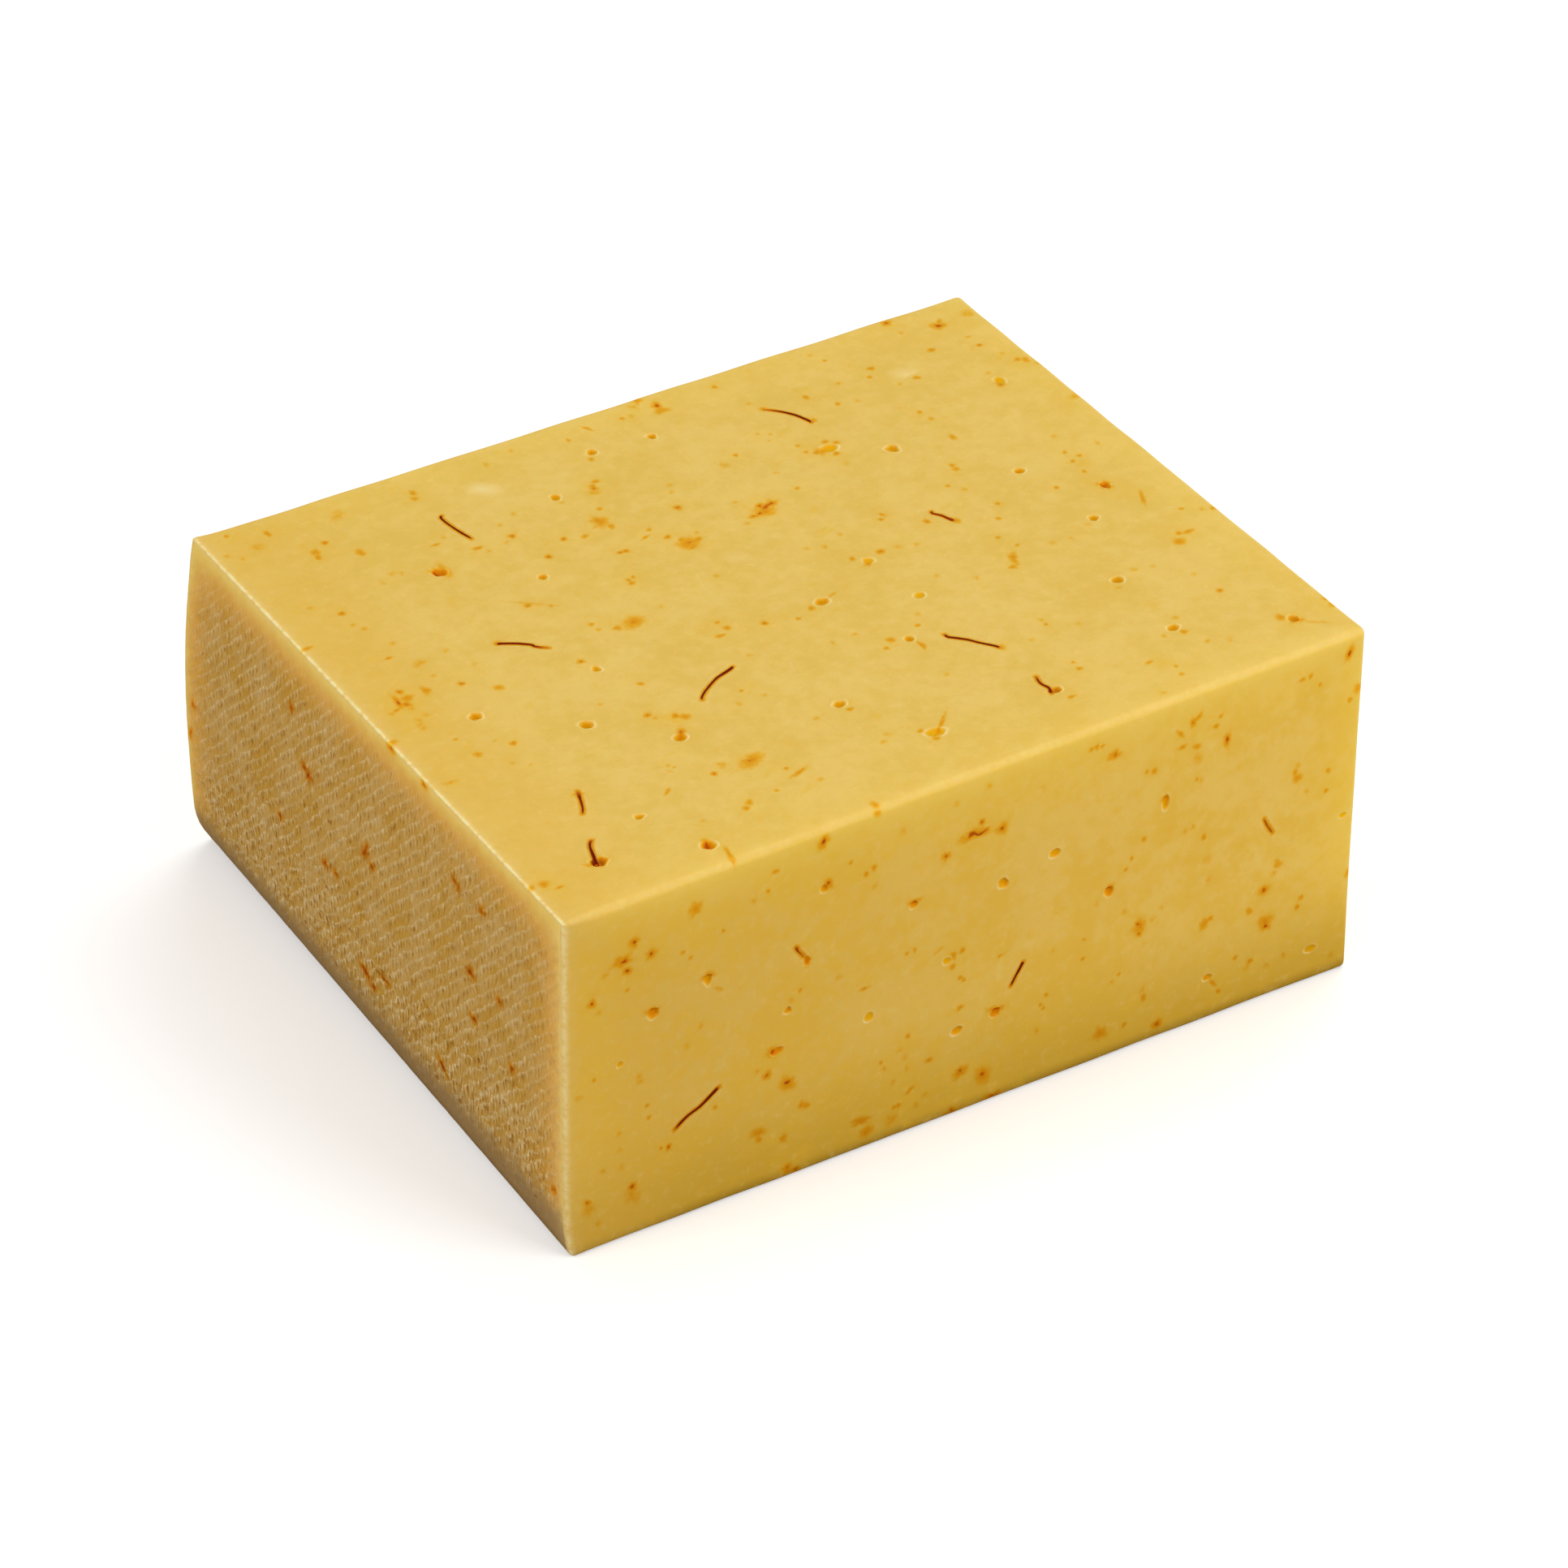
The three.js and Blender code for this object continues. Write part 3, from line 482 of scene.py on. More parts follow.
SCRATCHES = (
    (20.5, 8.6, 2.6, 95.0), (84.0, 21.0, 4.6, 27.0), (22.5, 96.5, 1.6, 30.0), (25.0, 97.3, 1.4, 20.0),
    (131.5, 111.3, 2.2, 25.0), (66.0, 41.0, 3.4, 200.0), (110.5, 84.0, 4.0, 34.0), (49.0, 118.0, 3.0, 28.0),
    (121.0, 29.0, 3.6, 31.0), (10.0, 35.0, 2.4, 100.0), (76.5, 75.5, 3.2, 24.0), (139.0, 90.0, 3.4, 36.0),
)


@dataclass
class Saffron:
    """All that the saffron leaves in the block: eyes, spots, threads and scratches, mm.

    The faces that don't show get the same things: eyes and threads where golden steps put them, as
    in the solid, and spots by a seeded draw.
    """

    form: BlockForm
    step_one: float = 0.7549
    step_two: float = 0.5698
    margin: float = 9.0
    eyes_on: dict = field(default_factory=lambda: {Side.BACK: 10, Side.FAR: 6, Side.LOW: 8})
    threads_on: dict = field(default_factory=lambda: {Side.BACK: 3, Side.FAR: 2})
    spots_on: dict = field(default_factory=lambda: {Side.BACK: 90, Side.FAR: 74, Side.LOW: 60})
    thread_length: float = 8.0
    thread_bow: float = 0.9
    eyes: list = field(init=False)
    marks: list = field(init=False)
    threads: list = field(init=False)

    def __post_init__(self) -> None:
        """Gathers the marks that the photo shows and adds those of the hidden faces."""
        self.eyes = [Eye(Side.TOP, *row) for row in TOP_EYES]
        self.eyes += [Eye(Side.FRONT, *row) for row in FRONT_EYES]
        self.eyes += [Eye(Side.RIND, *row, tint=0.0) for row in RIND_PITS]
        self.eyes += [Eye(*row, tint=0.15) for row in PALE_EYES]
        self.marks = [
            Mark(side, tint, *row)
            for side, by_tint in ((Side.TOP, TOP_MARKS), (Side.FRONT, FRONT_MARKS), (Side.RIND, RIND_MARKS))
            for tint, rows in by_tint.items()
            for row in rows
        ]
        self.threads = list(THREADS)
        for side in (Side.BACK, Side.FAR, Side.LOW):
            self.dress_hidden(side)

    def spread(self, side: Side) -> tuple[float, float]:
        """The two side lengths of a face, in the order in which its marks are read."""
        first, second = [size for axis, size in enumerate(self.form.size) if axis != side.value[0]]
        return float(first), float(second)

    def golden_point(self, index: float, side: Side) -> tuple[float, float]:
        """The place after index golden steps, kept one margin from the face's edges."""
        steps = (self.step_one, self.step_two)
        return tuple(
            blend(self.margin, size - self.margin, (0.5 + index * step) % 1.0)
            for size, step in zip(self.spread(side), steps)
        )

    def dress_hidden(self, side: Side) -> None:
        """Adds the eyes, threads and spots of one face that the photo doesn't show."""
        for index in range(1, self.eyes_on[side] + 1):
            length = 1.7 + (index * self.step_two) % 1.0
            heading = 360.0 * ((index * self.step_one) % 1.0)
            self.eyes.append(Eye(side, *self.golden_point(index, side), length, 0.8 * length, heading))
        for index in range(1, self.threads_on.get(side, 0) + 1):
            middle = np.array(self.golden_point(index + 0.5, side))
            turn = 2.0 * math.pi * ((index * self.step_one) % 1.0)
            ahead = np.array([math.cos(turn), math.sin(turn)])
            aside = np.array([-math.sin(turn), math.cos(turn)])
            route = tuple(
                tuple(middle + self.thread_length * reach * ahead + self.thread_bow * math.cos(math.pi * reach) * aside)
                for reach in np.linspace(-0.5, 0.5, 5)
            )
            self.threads.append(Thread(side, route))
        draw = np.random.default_rng(SEED + side.value[0] * 2 + side.value[1])
        first, second = self.spread(side)
        for _ in range(self.spots_on[side]):
            tint = draw.choice(4, p=(0.42, 0.42, 0.11, 0.05))
            length = draw.uniform(0.5, 1.4) * (1.9 if draw.random() < 0.08 else 1.0)
            breadth = length * draw.uniform(0.5, 1.1)
            place = (draw.uniform(2.0, first - 2.0), draw.uniform(1.0, second - 1.0))
            self.marks.append(Mark(side, list(Tint)[tint], *place, length, breadth, draw.uniform(0.0, 180.0)))


# Fields over the block's surface

@dataclass
class SurfaceField:
    """Heights, stains and painted highlights at points of the plain box, gathered mark by mark, mm."""

    form: BlockForm
    points: np.ndarray
    lobe_strength: float = 0.15
    aura_reach: float = 2.8
    glint: dict = field(default_factory=lambda: {
        Side.TOP: -31.0, Side.FRONT: 225.0, Side.RIND: 0.0, Side.BACK: 225.0, Side.FAR: 225.0, Side.LOW: 0.0,
    })

    def __post_init__(self) -> None:
        """Starts every field at nothing. Glint is the bearing of the pale crescents round an eye."""
        zeros = np.zeros(len(self.points))
        self.height = zeros.copy()
        self.stain = zeros.copy()
        self.ember = zeros.copy()
        self.glint_and_pale_lines = zeros.copy()
        self.pit = zeros.copy()
        self.aura = zeros.copy()

    def reach(self, mark, lobe_seed: int, limit: float) -> tuple[np.ndarray, np.ndarray]:
        """How far points lie from a mark, in its own radii, with an uneven outline.

        The distance is that of an ellipsoid with the mark's two radii and their mean along the
        face's outward direction. The outline varies by a sum of cosines of the bearing.

        Args:
            mark: A Mark or an Eye.
            lobe_seed: Seed of the outline's unevenness.
            limit: Largest distance that counts, in radii.

        Returns:
            The indices of the points within the limit, and their distances.
        """
        breadth = mark.breadth or mark.length
        radii = np.array([mark.length, breadth]) / 2.0
        centre = mark.side.spot(mark.along, mark.up, self.form)
        near = within(self.points, centre, radii.max() * limit)
        along, up, outward = mark.side.axes()
        turn = math.radians(mark.heading)
        ahead = math.cos(turn) * along + math.sin(turn) * up
        aside = math.cos(turn) * up - math.sin(turn) * along
        offset = self.points[near] - centre
        first = offset @ ahead / radii[0]
        second = offset @ aside / radii[1]
        depth = offset @ outward / radii.mean()
        bearing = np.arctan2(second, first)
        draw = np.random.default_rng(SEED + lobe_seed)
        outline = np.ones(len(near))
        strength = self.lobe_strength
        if isinstance(mark, Eye):
            strength *= 0.55
        elif mark.length > 1.7 or mark.side is Side.RIND:
            strength *= 1.4
        for lobes in (2, 3, 5):
            outline += strength * draw.normal() / math.sqrt(lobes) * np.cos(
                lobes * bearing + draw.uniform(0.0, 2.0 * math.pi))
        distance = np.sqrt(first**2 + second**2 + depth**2) / np.clip(outline, 0.6, 1.5)
        return near, distance

    def add_eye(self, eye: Eye, seed: int) -> None:
        """Sinks one eye: a steep wall, a flat floor and a low rounded lip just outside it, paled as a painted
        highlight.
        """
        near, distance = self.reach(eye, seed, 2.4)
        breadth = min(eye.length, eye.breadth)
        sunk = (0.34 if eye.side is Side.TOP else 0.26) * breadth * (0.5 if eye.tint < 0.2 else 1.0)
        wall = 1.0 - smooth_step(distance, 0.45, 1.04)
        lip_and_glint = np.exp(-(((distance - 1.14) / 0.12) ** 2))
        self.height[near] -= sunk * wall - 0.015 * lip_and_glint * (eye.side in (Side.TOP, Side.FRONT))
        along, up, _ = eye.side.axes()
        offset = self.points[near] - eye.side.spot(eye.along, eye.up, self.form)
        bearing = np.arctan2(offset @ up, offset @ along) - math.radians(self.glint[eye.side])
        facing = np.cos(bearing)
        other_end = 0.75 if eye.side is Side.TOP else 0.3
        # Painted highlight: the lip is paled as crescents on the side that faces the glint's bearing, weakly on the
        # other side.
        lip_and_glint = lip_and_glint * (0.12 + 0.88 * np.where(facing > 0.0, facing**2, other_end * facing**4))
        lip_and_glint *= 0.0 if eye.side is Side.RIND else 1.0
        self.stain[near] = np.maximum(self.stain[near], eye.tint * np.exp(-0.8 * distance**2))
        self.glint_and_pale_lines[near] = np.maximum(self.glint_and_pale_lines[near], lip_and_glint)
        self.pit[near] = np.maximum(self.pit[near], 1.0 - smooth_step(distance, 0.7, 1.05))

    def add_mark(self, mark: Mark, seed: int) -> None:
        """Stains one spot: strength times a bell of the distance, dark in the middle if dark."""
        orange, dark, halo = mark.tint.value
        radius = 0.5 * math.sqrt(mark.length * (mark.breadth or mark.length))
        near, distance = self.reach(mark, seed, 2.2 * (1.0 + halo / radius))
        spread = distance * radius / (radius + halo)
        self.stain[near] = np.maximum(self.stain[near], orange * np.exp(-0.8 * spread**2))
        dark *= {Side.TOP: 0.78, Side.RIND: 0.85}.get(mark.side, 1.0)
        self.ember[near] = np.maximum(self.ember[near], dark * np.exp(-1.1 * distance**2))
        centre = mark.side.spot(mark.along, mark.up, self.form)
        reach, strength = (1.5, 0.6) if mark.side is Side.RIND else (self.aura_reach, 0.22)
        near = within(self.points, centre, 2.2 * reach)
        gap = np.linalg.norm(self.points[near] - centre, axis=1)
        self.aura[near] += strength * orange * np.exp(-((gap / reach) ** 2))

    def add_thread(self, thread: Thread) -> None:
        """Stains the paste along a thread, by the distance to its route, and sinks a shallow groove."""
        route = np.array([thread.side.spot(*place, self.form) for place in thread.route])
        near = within(self.points, route.mean(axis=0), 9.0)
        closest = np.full(len(near), np.inf)
        for start, end in zip(route[:-1], route[1:]):
            run = end - start
            share = np.clip((self.points[near] - start) @ run / (run @ run), 0.0, 1.0)
            gap = np.linalg.norm(self.points[near] - start - share[:, None] * run, axis=1)
            closest = np.minimum(closest, gap)
        fringe = 0.85 * np.exp(-((closest / 0.46) ** 2)) + 0.2 * np.exp(-((closest / 1.2) ** 2))
        self.stain[near] = np.maximum(self.stain[near], fringe)
        self.glint_and_pale_lines[near] = np.maximum(self.glint_and_pale_lines[near], 0.2 * np.exp(-(((closest - 0.7) / 0.16) ** 2)))
        self.height[near] -= 0.08 * np.exp(-((closest / 0.4) ** 2))

    def add_scratch(self, along: float, up: float, length: float, heading: float) -> None:
        """Scores one fine pale line into the top."""
        scratch = Mark(Side.TOP, FAINT, along, up, length, 0.34, heading)
        near, distance = self.reach(scratch, int(along * 10.0), 1.4)
        line = np.exp(-((distance / 0.7) ** 2))
        self.height[near] -= 0.05 * line
        self.glint_and_pale_lines[near] = np.maximum(self.glint_and_pale_lines[near], line)


@dataclass(frozen=True)
class RindPrint:
    """The rind's relief: rows left by the mould, pores and dents between them and a smooth heel, mm.

    A point is read by how far it lies from the middle of the rind across the rows. The rows rise
    towards the front.
    """

    form: BlockForm
    pitch: float = 2.0
    depth: float = 0.16
    angle: float = 44.0
    half_span: float = 73.0
    smooth_top: float = 1.6
    fade_top: float = 6.5
    fade_side: float = 2.6
    heel_low: float = 2.0
    heel_high: float = 14.5

    def share(self, box: np.ndarray) -> np.ndarray:
        """How much of the print shows: none along the rind's edges and all in its middle."""
        under_top = np.clip((self.form.height - self.smooth_top - box[:, 2]) / self.fade_top, 0.0, 1.0)
        from_front = np.clip(box[:, 1] / self.fade_side, 0.0, 1.0)
        from_back = np.clip((self.form.width - box[:, 1]) / self.fade_side, 0.0, 1.0)
        on_rind = np.clip(1.0 - box[:, 0] / 0.6, 0.0, 1.0)
        return under_top * from_front * from_back * on_rind

    def crust(self, box: np.ndarray) -> np.ndarray:
        """How much of the skin is brown rind: it starts a few mm from the cut edges."""
        under_top = 1.0 - np.exp(-((np.maximum(self.form.height - box[:, 2], 0.0) / 5.0) ** 1.4))
        from_front = 1.0 - np.exp(-np.maximum(box[:, 1], 0.0) / 4.4)
        from_back = 1.0 - np.exp(-np.maximum(self.form.width - box[:, 1], 0.0) / 4.2)
        on_rind = np.clip(1.0 - box[:, 0] / 0.8, 0.0, 1.0)
        return under_top * from_front * from_back * on_rind

    def heel(self, box: np.ndarray) -> np.ndarray:
        """How much a point belongs to the smooth foot of the rind, darker partly in its own colour and partly as
        painted shade.
        """
        on_rind = np.clip(1.0 - box[:, 0] / 2.5, 0.0, 1.0)
        return (1.0 - smooth_step(box[:, 2], self.heel_low, self.heel_high)) * on_rind

    def relief(self, box: np.ndarray) -> tuple[np.ndarray, np.ndarray]:
        """Height of the print and its crests.

        The rows are a cosine across them, weaker towards the heel. Pores and dents are sums of
        plane waves.

        Args:
            box: Points on the plain box.

        Returns:
            The height, nowhere above the plain surface, and the number of the row, rising with z.
        """
        forward = self.form.width / 2.0 - box[:, 1]
        up = box[:, 2] - self.form.height / 2.0
        angle = math.radians(self.angle)
        across = -forward * math.sin(angle) + up * math.cos(angle)
        sway = 0.35 * wave_field(forward, up, 10, (0.03, 0.09), 0.0, 180.0, SEED + 1)
        number = (across + self.half_span + 0.5 * sway) / self.pitch
        dents = wave_field(forward, up, 24, (0.1, 0.3), 0.0, 180.0, SEED + 3)
        pores = wave_field(forward, up, 40, (0.4, 0.75), 0.0, 180.0, SEED + 4)
        printed = self.share(box) * (1.0 - 0.75 * self.heel(box))
        rows = np.cos(2.0 * math.pi * number) * blend(0.35, 1.0, smooth_step(box[:, 2], 8.0, 34.0))
        height = -0.5 * self.depth * (1.0 - rows)
        height += 0.06 * np.clip(dents, -2.4, 0.6)
        height -= 0.14 * smooth_step(pores, 0.5, 2.2)
        return np.minimum(height * printed, 0.0), number


@dataclass(frozen=True)
class PaintedEdgeLight:
    """Painted edge light, where light gathers in the cut edges: a warm painted glow some mm wide and a painted
    highlight line on the edge, mm.
    """

    form: BlockForm
    glow_reach: float = 6.2
    top_share: float = 0.35

    def gaps(self, box: np.ndarray) -> np.ndarray:
        """How far each point lies from its nearest edge."""
        return np.sort(np.minimum(box, self.form.size - box), axis=1)[:, 1]

    def painted_edge_glow(self, box: np.ndarray) -> np.ndarray:
        """The painted glow: falls off from every edge but the lower ones and, on the top, the rind's, which let no
        light in.
        """
        on_top = np.clip(1.0 - (self.form.height - box[:, 2]) / 0.8, 0.0, 1.0)
        at_rind = np.exp(-box[:, 0] / 5.0)
        strength = blend(1.0, self.top_share, on_top) * (1.0 - at_rind)
        return np.exp(-self.gaps(box) / self.glow_reach) * smooth_step(box[:, 2], 2.0, 26.0) * strength

    def line(self, box: np.ndarray) -> np.ndarray:
        """The painted highlight line: bells of the distance to each edge, fine and bright along the rind, broad and
        soft elsewhere.
        """
        front, rind = box[:, 1], box[:, 0]
        top = self.form.height - box[:, 2]
        broken = 0.82 + 0.3 * wave_field(front, rind, 14, (0.05, 0.5), 0.0, 10.0, SEED + 6)
        at_edge = np.hypot(rind, top)
        rind_top = np.clip(broken, 0.35, 1.0) * np.exp(-((at_edge / 0.33) ** 2)) + 0.2 * np.exp(-((at_edge / 0.9) ** 2))
        front_top = 0.16 * np.exp(-((np.hypot(front, top) / 1.3) ** 2))
        rind_front = 0.4 * np.exp(-((np.hypot(rind, front) / 0.8) ** 2)) + 0.26 * np.exp(-np.hypot(rind, 0.5 * front))
        other = 0.2 * np.exp(-((self.gaps(box) / 1.2) ** 2)) * smooth_step(box[:, 2], 4.0, 24.0)
        return np.maximum.reduce([rind_top, front_top, rind_front, other])


@dataclass
class CrowdedBox:
    """A closed surface on the plain box whose points crowd wherever there is something to show.

    Each side is triangulated between rows along its edges, an even grid and rings round its eyes,
    spots and threads. The rows crowd towards the edge as the power 1.5, to round it, and two sides
    that meet share the points on their edge. All sizes are in mm.
    """

    form: BlockForm
    saffron: Saffron
    edge_zone: float = 1.4
    edge_rows: int = 6
    crowding: float = 1.5
    fine_edge: float = 0.8
    plain_edge: float = 1.8
    plain_grid: float = 3.3
    print_grid: float = 0.53
    spot_grain: float = 0.33
    faint_grain: float = 0.5
    eye_grain: float = 0.26
    hidden_share: float = 1.7
    least_gap: float = 0.12
    spot_reach: float = 2.0
    eye_rings: tuple = (0.3, 0.52, 0.7, 0.84, 0.96, 1.07, 1.2, 1.38, 1.7)
    thread_step: float = 0.45
    thread_rows: tuple = (-1.3, -0.75, -0.4, 0.0, 0.4, 0.75, 1.3)
    fine_edges: tuple = ((0, None, 1), (None, 0, 1), (0, 0, None))

    def edge_places(self, ends: tuple) -> np.ndarray:
        """Places along one edge: crowding to both ends, even between them and finer beside marks.

        Args:
            ends: The edge's end of each axis, and None for the axis that it runs along.

        Returns:
            The places in rising order.
        """
        axis = ends.index(None)
        size = self.form.size[axis]
        rising = self.edge_zone * (np.arange(self.edge_rows) / self.edge_rows) ** self.crowding
        spacing = self.fine_edge if ends in self.fine_edges else self.plain_edge
        steps = math.ceil((size - 2.0 * self.edge_zone) / spacing)
        places = [np.linspace(self.edge_zone, size - self.edge_zone, steps + 1)]
        for thing in [*self.saffron.eyes, *self.saffron.marks]:
            centre = thing.side.spot(thing.along, thing.up, self.form)
            beside = [centre[other] - self.form.size[other] * ends[other] for other in range(3) if other != axis]
            radius = 0.5 * max(thing.length, thing.breadth)
            if math.hypot(*beside) < radius + self.edge_zone:
                places.append(centre[axis] + np.arange(-radius - 0.3, radius + 0.3, self.spot_grain))
        middle = np.sort(np.concatenate(places))
        middle = middle[(middle >= self.edge_zone) & (middle <= size - self.edge_zone)]
        middle = middle[np.diff(middle, append=np.inf) > self.least_gap]
        middle = middle[middle > self.edge_zone + self.least_gap]
        return np.concatenate([rising, [self.edge_zone], middle, [size - self.edge_zone], (size - rising)[::-1]])

    def strips(self, side: Side) -> np.ndarray:
        """The rows of points along a side's four edges, as places along its two running axes."""
        facing, end, *running = side.value
        rows = self.edge_zone * (np.arange(self.edge_rows + 1) / self.edge_rows) ** self.crowding
        grids = []
        for own, other in ((0, 1), (1, 0)):
            for other_end in (0, 1):
                ends: list = [None, None, None]
                ends[facing], ends[running[other]] = end, other_end
                offsets = abs(self.form.size[running[other]] * other_end - rows)
                grid = np.stack(np.meshgrid(self.edge_places(tuple(ends)), offsets), axis=-1).reshape(-1, 2)
                grids.append(grid[:, [own, other]])
        return np.unique(np.round(np.concatenate(grids), 5), axis=0)

    def grid(self, side: Side) -> np.ndarray:
        """An even grid inside the strips, fine on the printed rind."""
        spacing = self.print_grid if side is Side.RIND else self.plain_grid
        lines = []
        for axis in side.value[2:]:
            margin = self.edge_zone + 0.5 * spacing
            steps = round((self.form.size[axis] - 2.0 * margin) / spacing)
            lines.append(np.linspace(margin, self.form.size[axis] - margin, steps + 1))
        return np.stack(np.meshgrid(*lines), axis=-1).reshape(-1, 2)

    def rings(self, thing) -> np.ndarray:
        """Rings of box points round an eye or a spot, as even as its grain in both directions."""
        radii = np.array([thing.length, thing.breadth or thing.length]) / 2.0
        is_eye = isinstance(thing, Eye)
        if not is_eye:
            radii += 0.6 * thing.tint.value[2]
        grain = self.eye_grain if is_eye else self.faint_grain if thing.tint is FAINT else self.spot_grain
        if thing.side in (Side.LOW, Side.BACK, Side.FAR):
            grain *= self.hidden_share
        count = max(2, round(self.spot_reach * math.sqrt(radii.prod()) / grain))
        distances = self.eye_rings if is_eye else self.spot_reach * np.arange(1, count + 1) / count
        flat = [np.zeros((1, 2))]
        for number, distance in enumerate(distances):
            count = max(6, round(2.0 * math.pi * radii.mean() * distance / grain))
            turn = 2.0 * math.pi * (np.arange(count) + 0.5 * (number % 2)) / count
            flat.append(distance * radii * np.stack([np.cos(turn), np.sin(turn)], axis=1))
        flat = np.concatenate(flat)
        along, up, _ = thing.side.axes()
        turn = math.radians(thing.heading)
        ahead = math.cos(turn) * along + math.sin(turn) * up
        aside = math.cos(turn) * up - math.sin(turn) * along
        return thing.side.spot(thing.along, thing.up, self.form) + flat @ np.stack([ahead, aside])

    def beside(self, thread: Thread) -> np.ndarray:
        """Rows of box points along a thread, for its groove and the stain beside it."""
        route = np.array([thread.side.spot(*place, self.form) for place in thread.route])
        across = np.cross(thread.side.axes()[2], route[-1] - route[0])
        across /= np.linalg.norm(across)
        lengths = np.linalg.norm(np.diff(route, axis=0), axis=1)
        total = np.concatenate([[0.0], np.cumsum(lengths)])
        steps = np.arange(-1.0, total[-1] + 1.0, self.thread_step)
        middle = np.stack([np.interp(steps, total, route[:, axis]) for axis in range(3)], axis=1)
        ahead = (route[-1] - route[0]) / np.linalg.norm(route[-1] - route[0])
        over = np.minimum(steps, 0.0) + np.maximum(steps - total[-1], 0.0)
        middle += over[:, None] * ahead
        return (middle[:, None] + np.array(self.thread_rows)[:, None] * across).reshape(-1, 3)

    def side_points(self, side: Side) -> np.ndarray:
        """All points of one side. No two but those of the strips lie in one cell as large as the least gap."""
        facing, _, *running = side.value
        strips = self.strips(side)
        loose = [self.rings(thing) for thing in [*self.saffron.eyes, *self.saffron.marks] if thing.side is side]
        loose += [self.beside(thread) for thread in self.saffron.threads if thread.side is side]
        size = self.form.size[running]
        flat = np.concatenate([part[:, running] for part in loose] + [self.grid(side)])
        inside = (flat > self.edge_zone + self.least_gap).all(axis=1)
        inside &= (flat < size - self.edge_zone - self.least_gap).all(axis=1)
        flat = flat[inside]
        cells = np.floor(flat / self.least_gap).astype(int)
        _, kept = np.unique(cells, axis=0, return_index=True)
        return np.concatenate([strips, flat[np.sort(kept)]])

    def build(self) -> tuple[np.ndarray, np.ndarray, list]:
        """Triangulates all six sides and joins them into one closed surface.

        Returns:
            The box points, the triangles as rows of point numbers, and each triangle's side.
        """
        points, faces, sides = [], [], []
        made = 0
        for side in Side:
            facing, end, *running = side.value
            flat = [Vector(place) for place in self.side_points(side)]
            placed, _, triangles, *_ = delaunay_2d_cdt(flat, [], [], 0, 1e-5)
            spots = np.full((len(placed), 3), self.form.size[facing] * end)
            spots[:, running] = np.array([tuple(place) for place in placed])
            points.append(spots)
            faces.append(np.array(triangles) + made)
            sides += [side] * len(triangles)
            made += len(spots)
        _, first, joined = np.unique(
            np.round(np.concatenate(points), 3), axis=0, return_index=True, return_inverse=True)
        return np.concatenate(points)[first], joined.ravel()[np.concatenate(faces)], sides


# Shader helpers

@dataclass
class Bench:
    """Adds shader nodes to one tree and joins them. A socket or a plain value may be fed in."""

    tree: bpy.types.NodeTree

    def add(self, kind: str, **settings) -> bpy.types.Node:
        """A new node with its settings."""
        node = self.tree.nodes.new(kind)
        for name, value in settings.items():
            setattr(node, name, value)
        return node

    def feed(self, socket: bpy.types.NodeSocket, value) -> None:
        """Links a socket into another, or sets its plain value."""
        if isinstance(value, bpy.types.NodeSocket):
            self.tree.links.new(value, socket)
        else:
            socket.default_value = value

    def math(self, operation: str, first, second=0.0, clamp: bool = False) -> bpy.types.NodeSocket:
        """One sum, product or other operation on two values."""
        node = self.add("ShaderNodeMath", operation=operation, use_clamp=clamp)
        self.feed(node.inputs[0], first)
        self.feed(node.inputs[1], second)
        return node.outputs[0]

    def mix(self, share, first, second, kind: str = "MIX") -> bpy.types.NodeSocket:
        """A mix of two colours."""
        node = self.add("ShaderNodeMix", data_type="RGBA", blend_type=kind)
        self.feed(node.inputs["Factor"], share)
        self.feed(node.inputs[6], first)
        self.feed(node.inputs[7], second)
        return node.outputs[2]

    def span(self, value, low: float, high: float, to_low: float = 0.0, to_high: float = 1.0):
        """Maps low and high smoothly to two new values."""
        node = self.add("ShaderNodeMapRange", interpolation_type="SMOOTHSTEP")
        for socket, given in zip(node.inputs, (value, low, high, to_low, to_high)):
            self.feed(socket, given)
        return node.outputs[0]

    def noise(self, vector, scale: float, detail: float = 2.0, rough: float = 0.5, bend: float = 0.0):
        """Cloudy noise from 0 to 1 of a given scale."""
        node = self.add("ShaderNodeTexNoise")
        self.feed(node.inputs["Vector"], vector)
        for name, value in (("Scale", scale), ("Detail", detail), ("Roughness", rough), ("Distortion", bend)):
            node.inputs[name].default_value = value
        return node.outputs["Fac"]

    def place(self) -> bpy.types.NodeSocket:
        """Object coordinates, in metres."""
        return self.add("ShaderNodeTexCoord").outputs["Object"]

    def turned(self, vector, turn: tuple, stretch: tuple) -> bpy.types.NodeSocket:
        """The same pattern place, turned by radians and then stretched."""
        turning = self.add("ShaderNodeMapping")
        self.feed(turning.inputs["Vector"], vector)
        turning.inputs["Rotation"].default_value = turn
        stretching = self.add("ShaderNodeMapping")
        self.feed(stretching.inputs["Vector"], turning.outputs[0])
        stretching.inputs["Scale"].default_value = stretch
        return stretching.outputs[0]

    def attribute(self, name: str) -> bpy.types.NodeSocket:
        """A value stored on the mesh's points."""
        return self.add("ShaderNodeAttribute", attribute_name=name).outputs["Fac"]


def tone(red: int, green: int, blue: int) -> tuple[float, float, float, float]:
    """A colour in the shader's own scale from the 0 to 255 values of a screen."""
    shares = np.array([red, green, blue]) / 255.0
    linear = np.where(shares <= 0.04045, shares / 12.92, ((shares + 0.055) / 1.055) ** 2.4)
    return (*(float(value) for value in linear), 1.0)


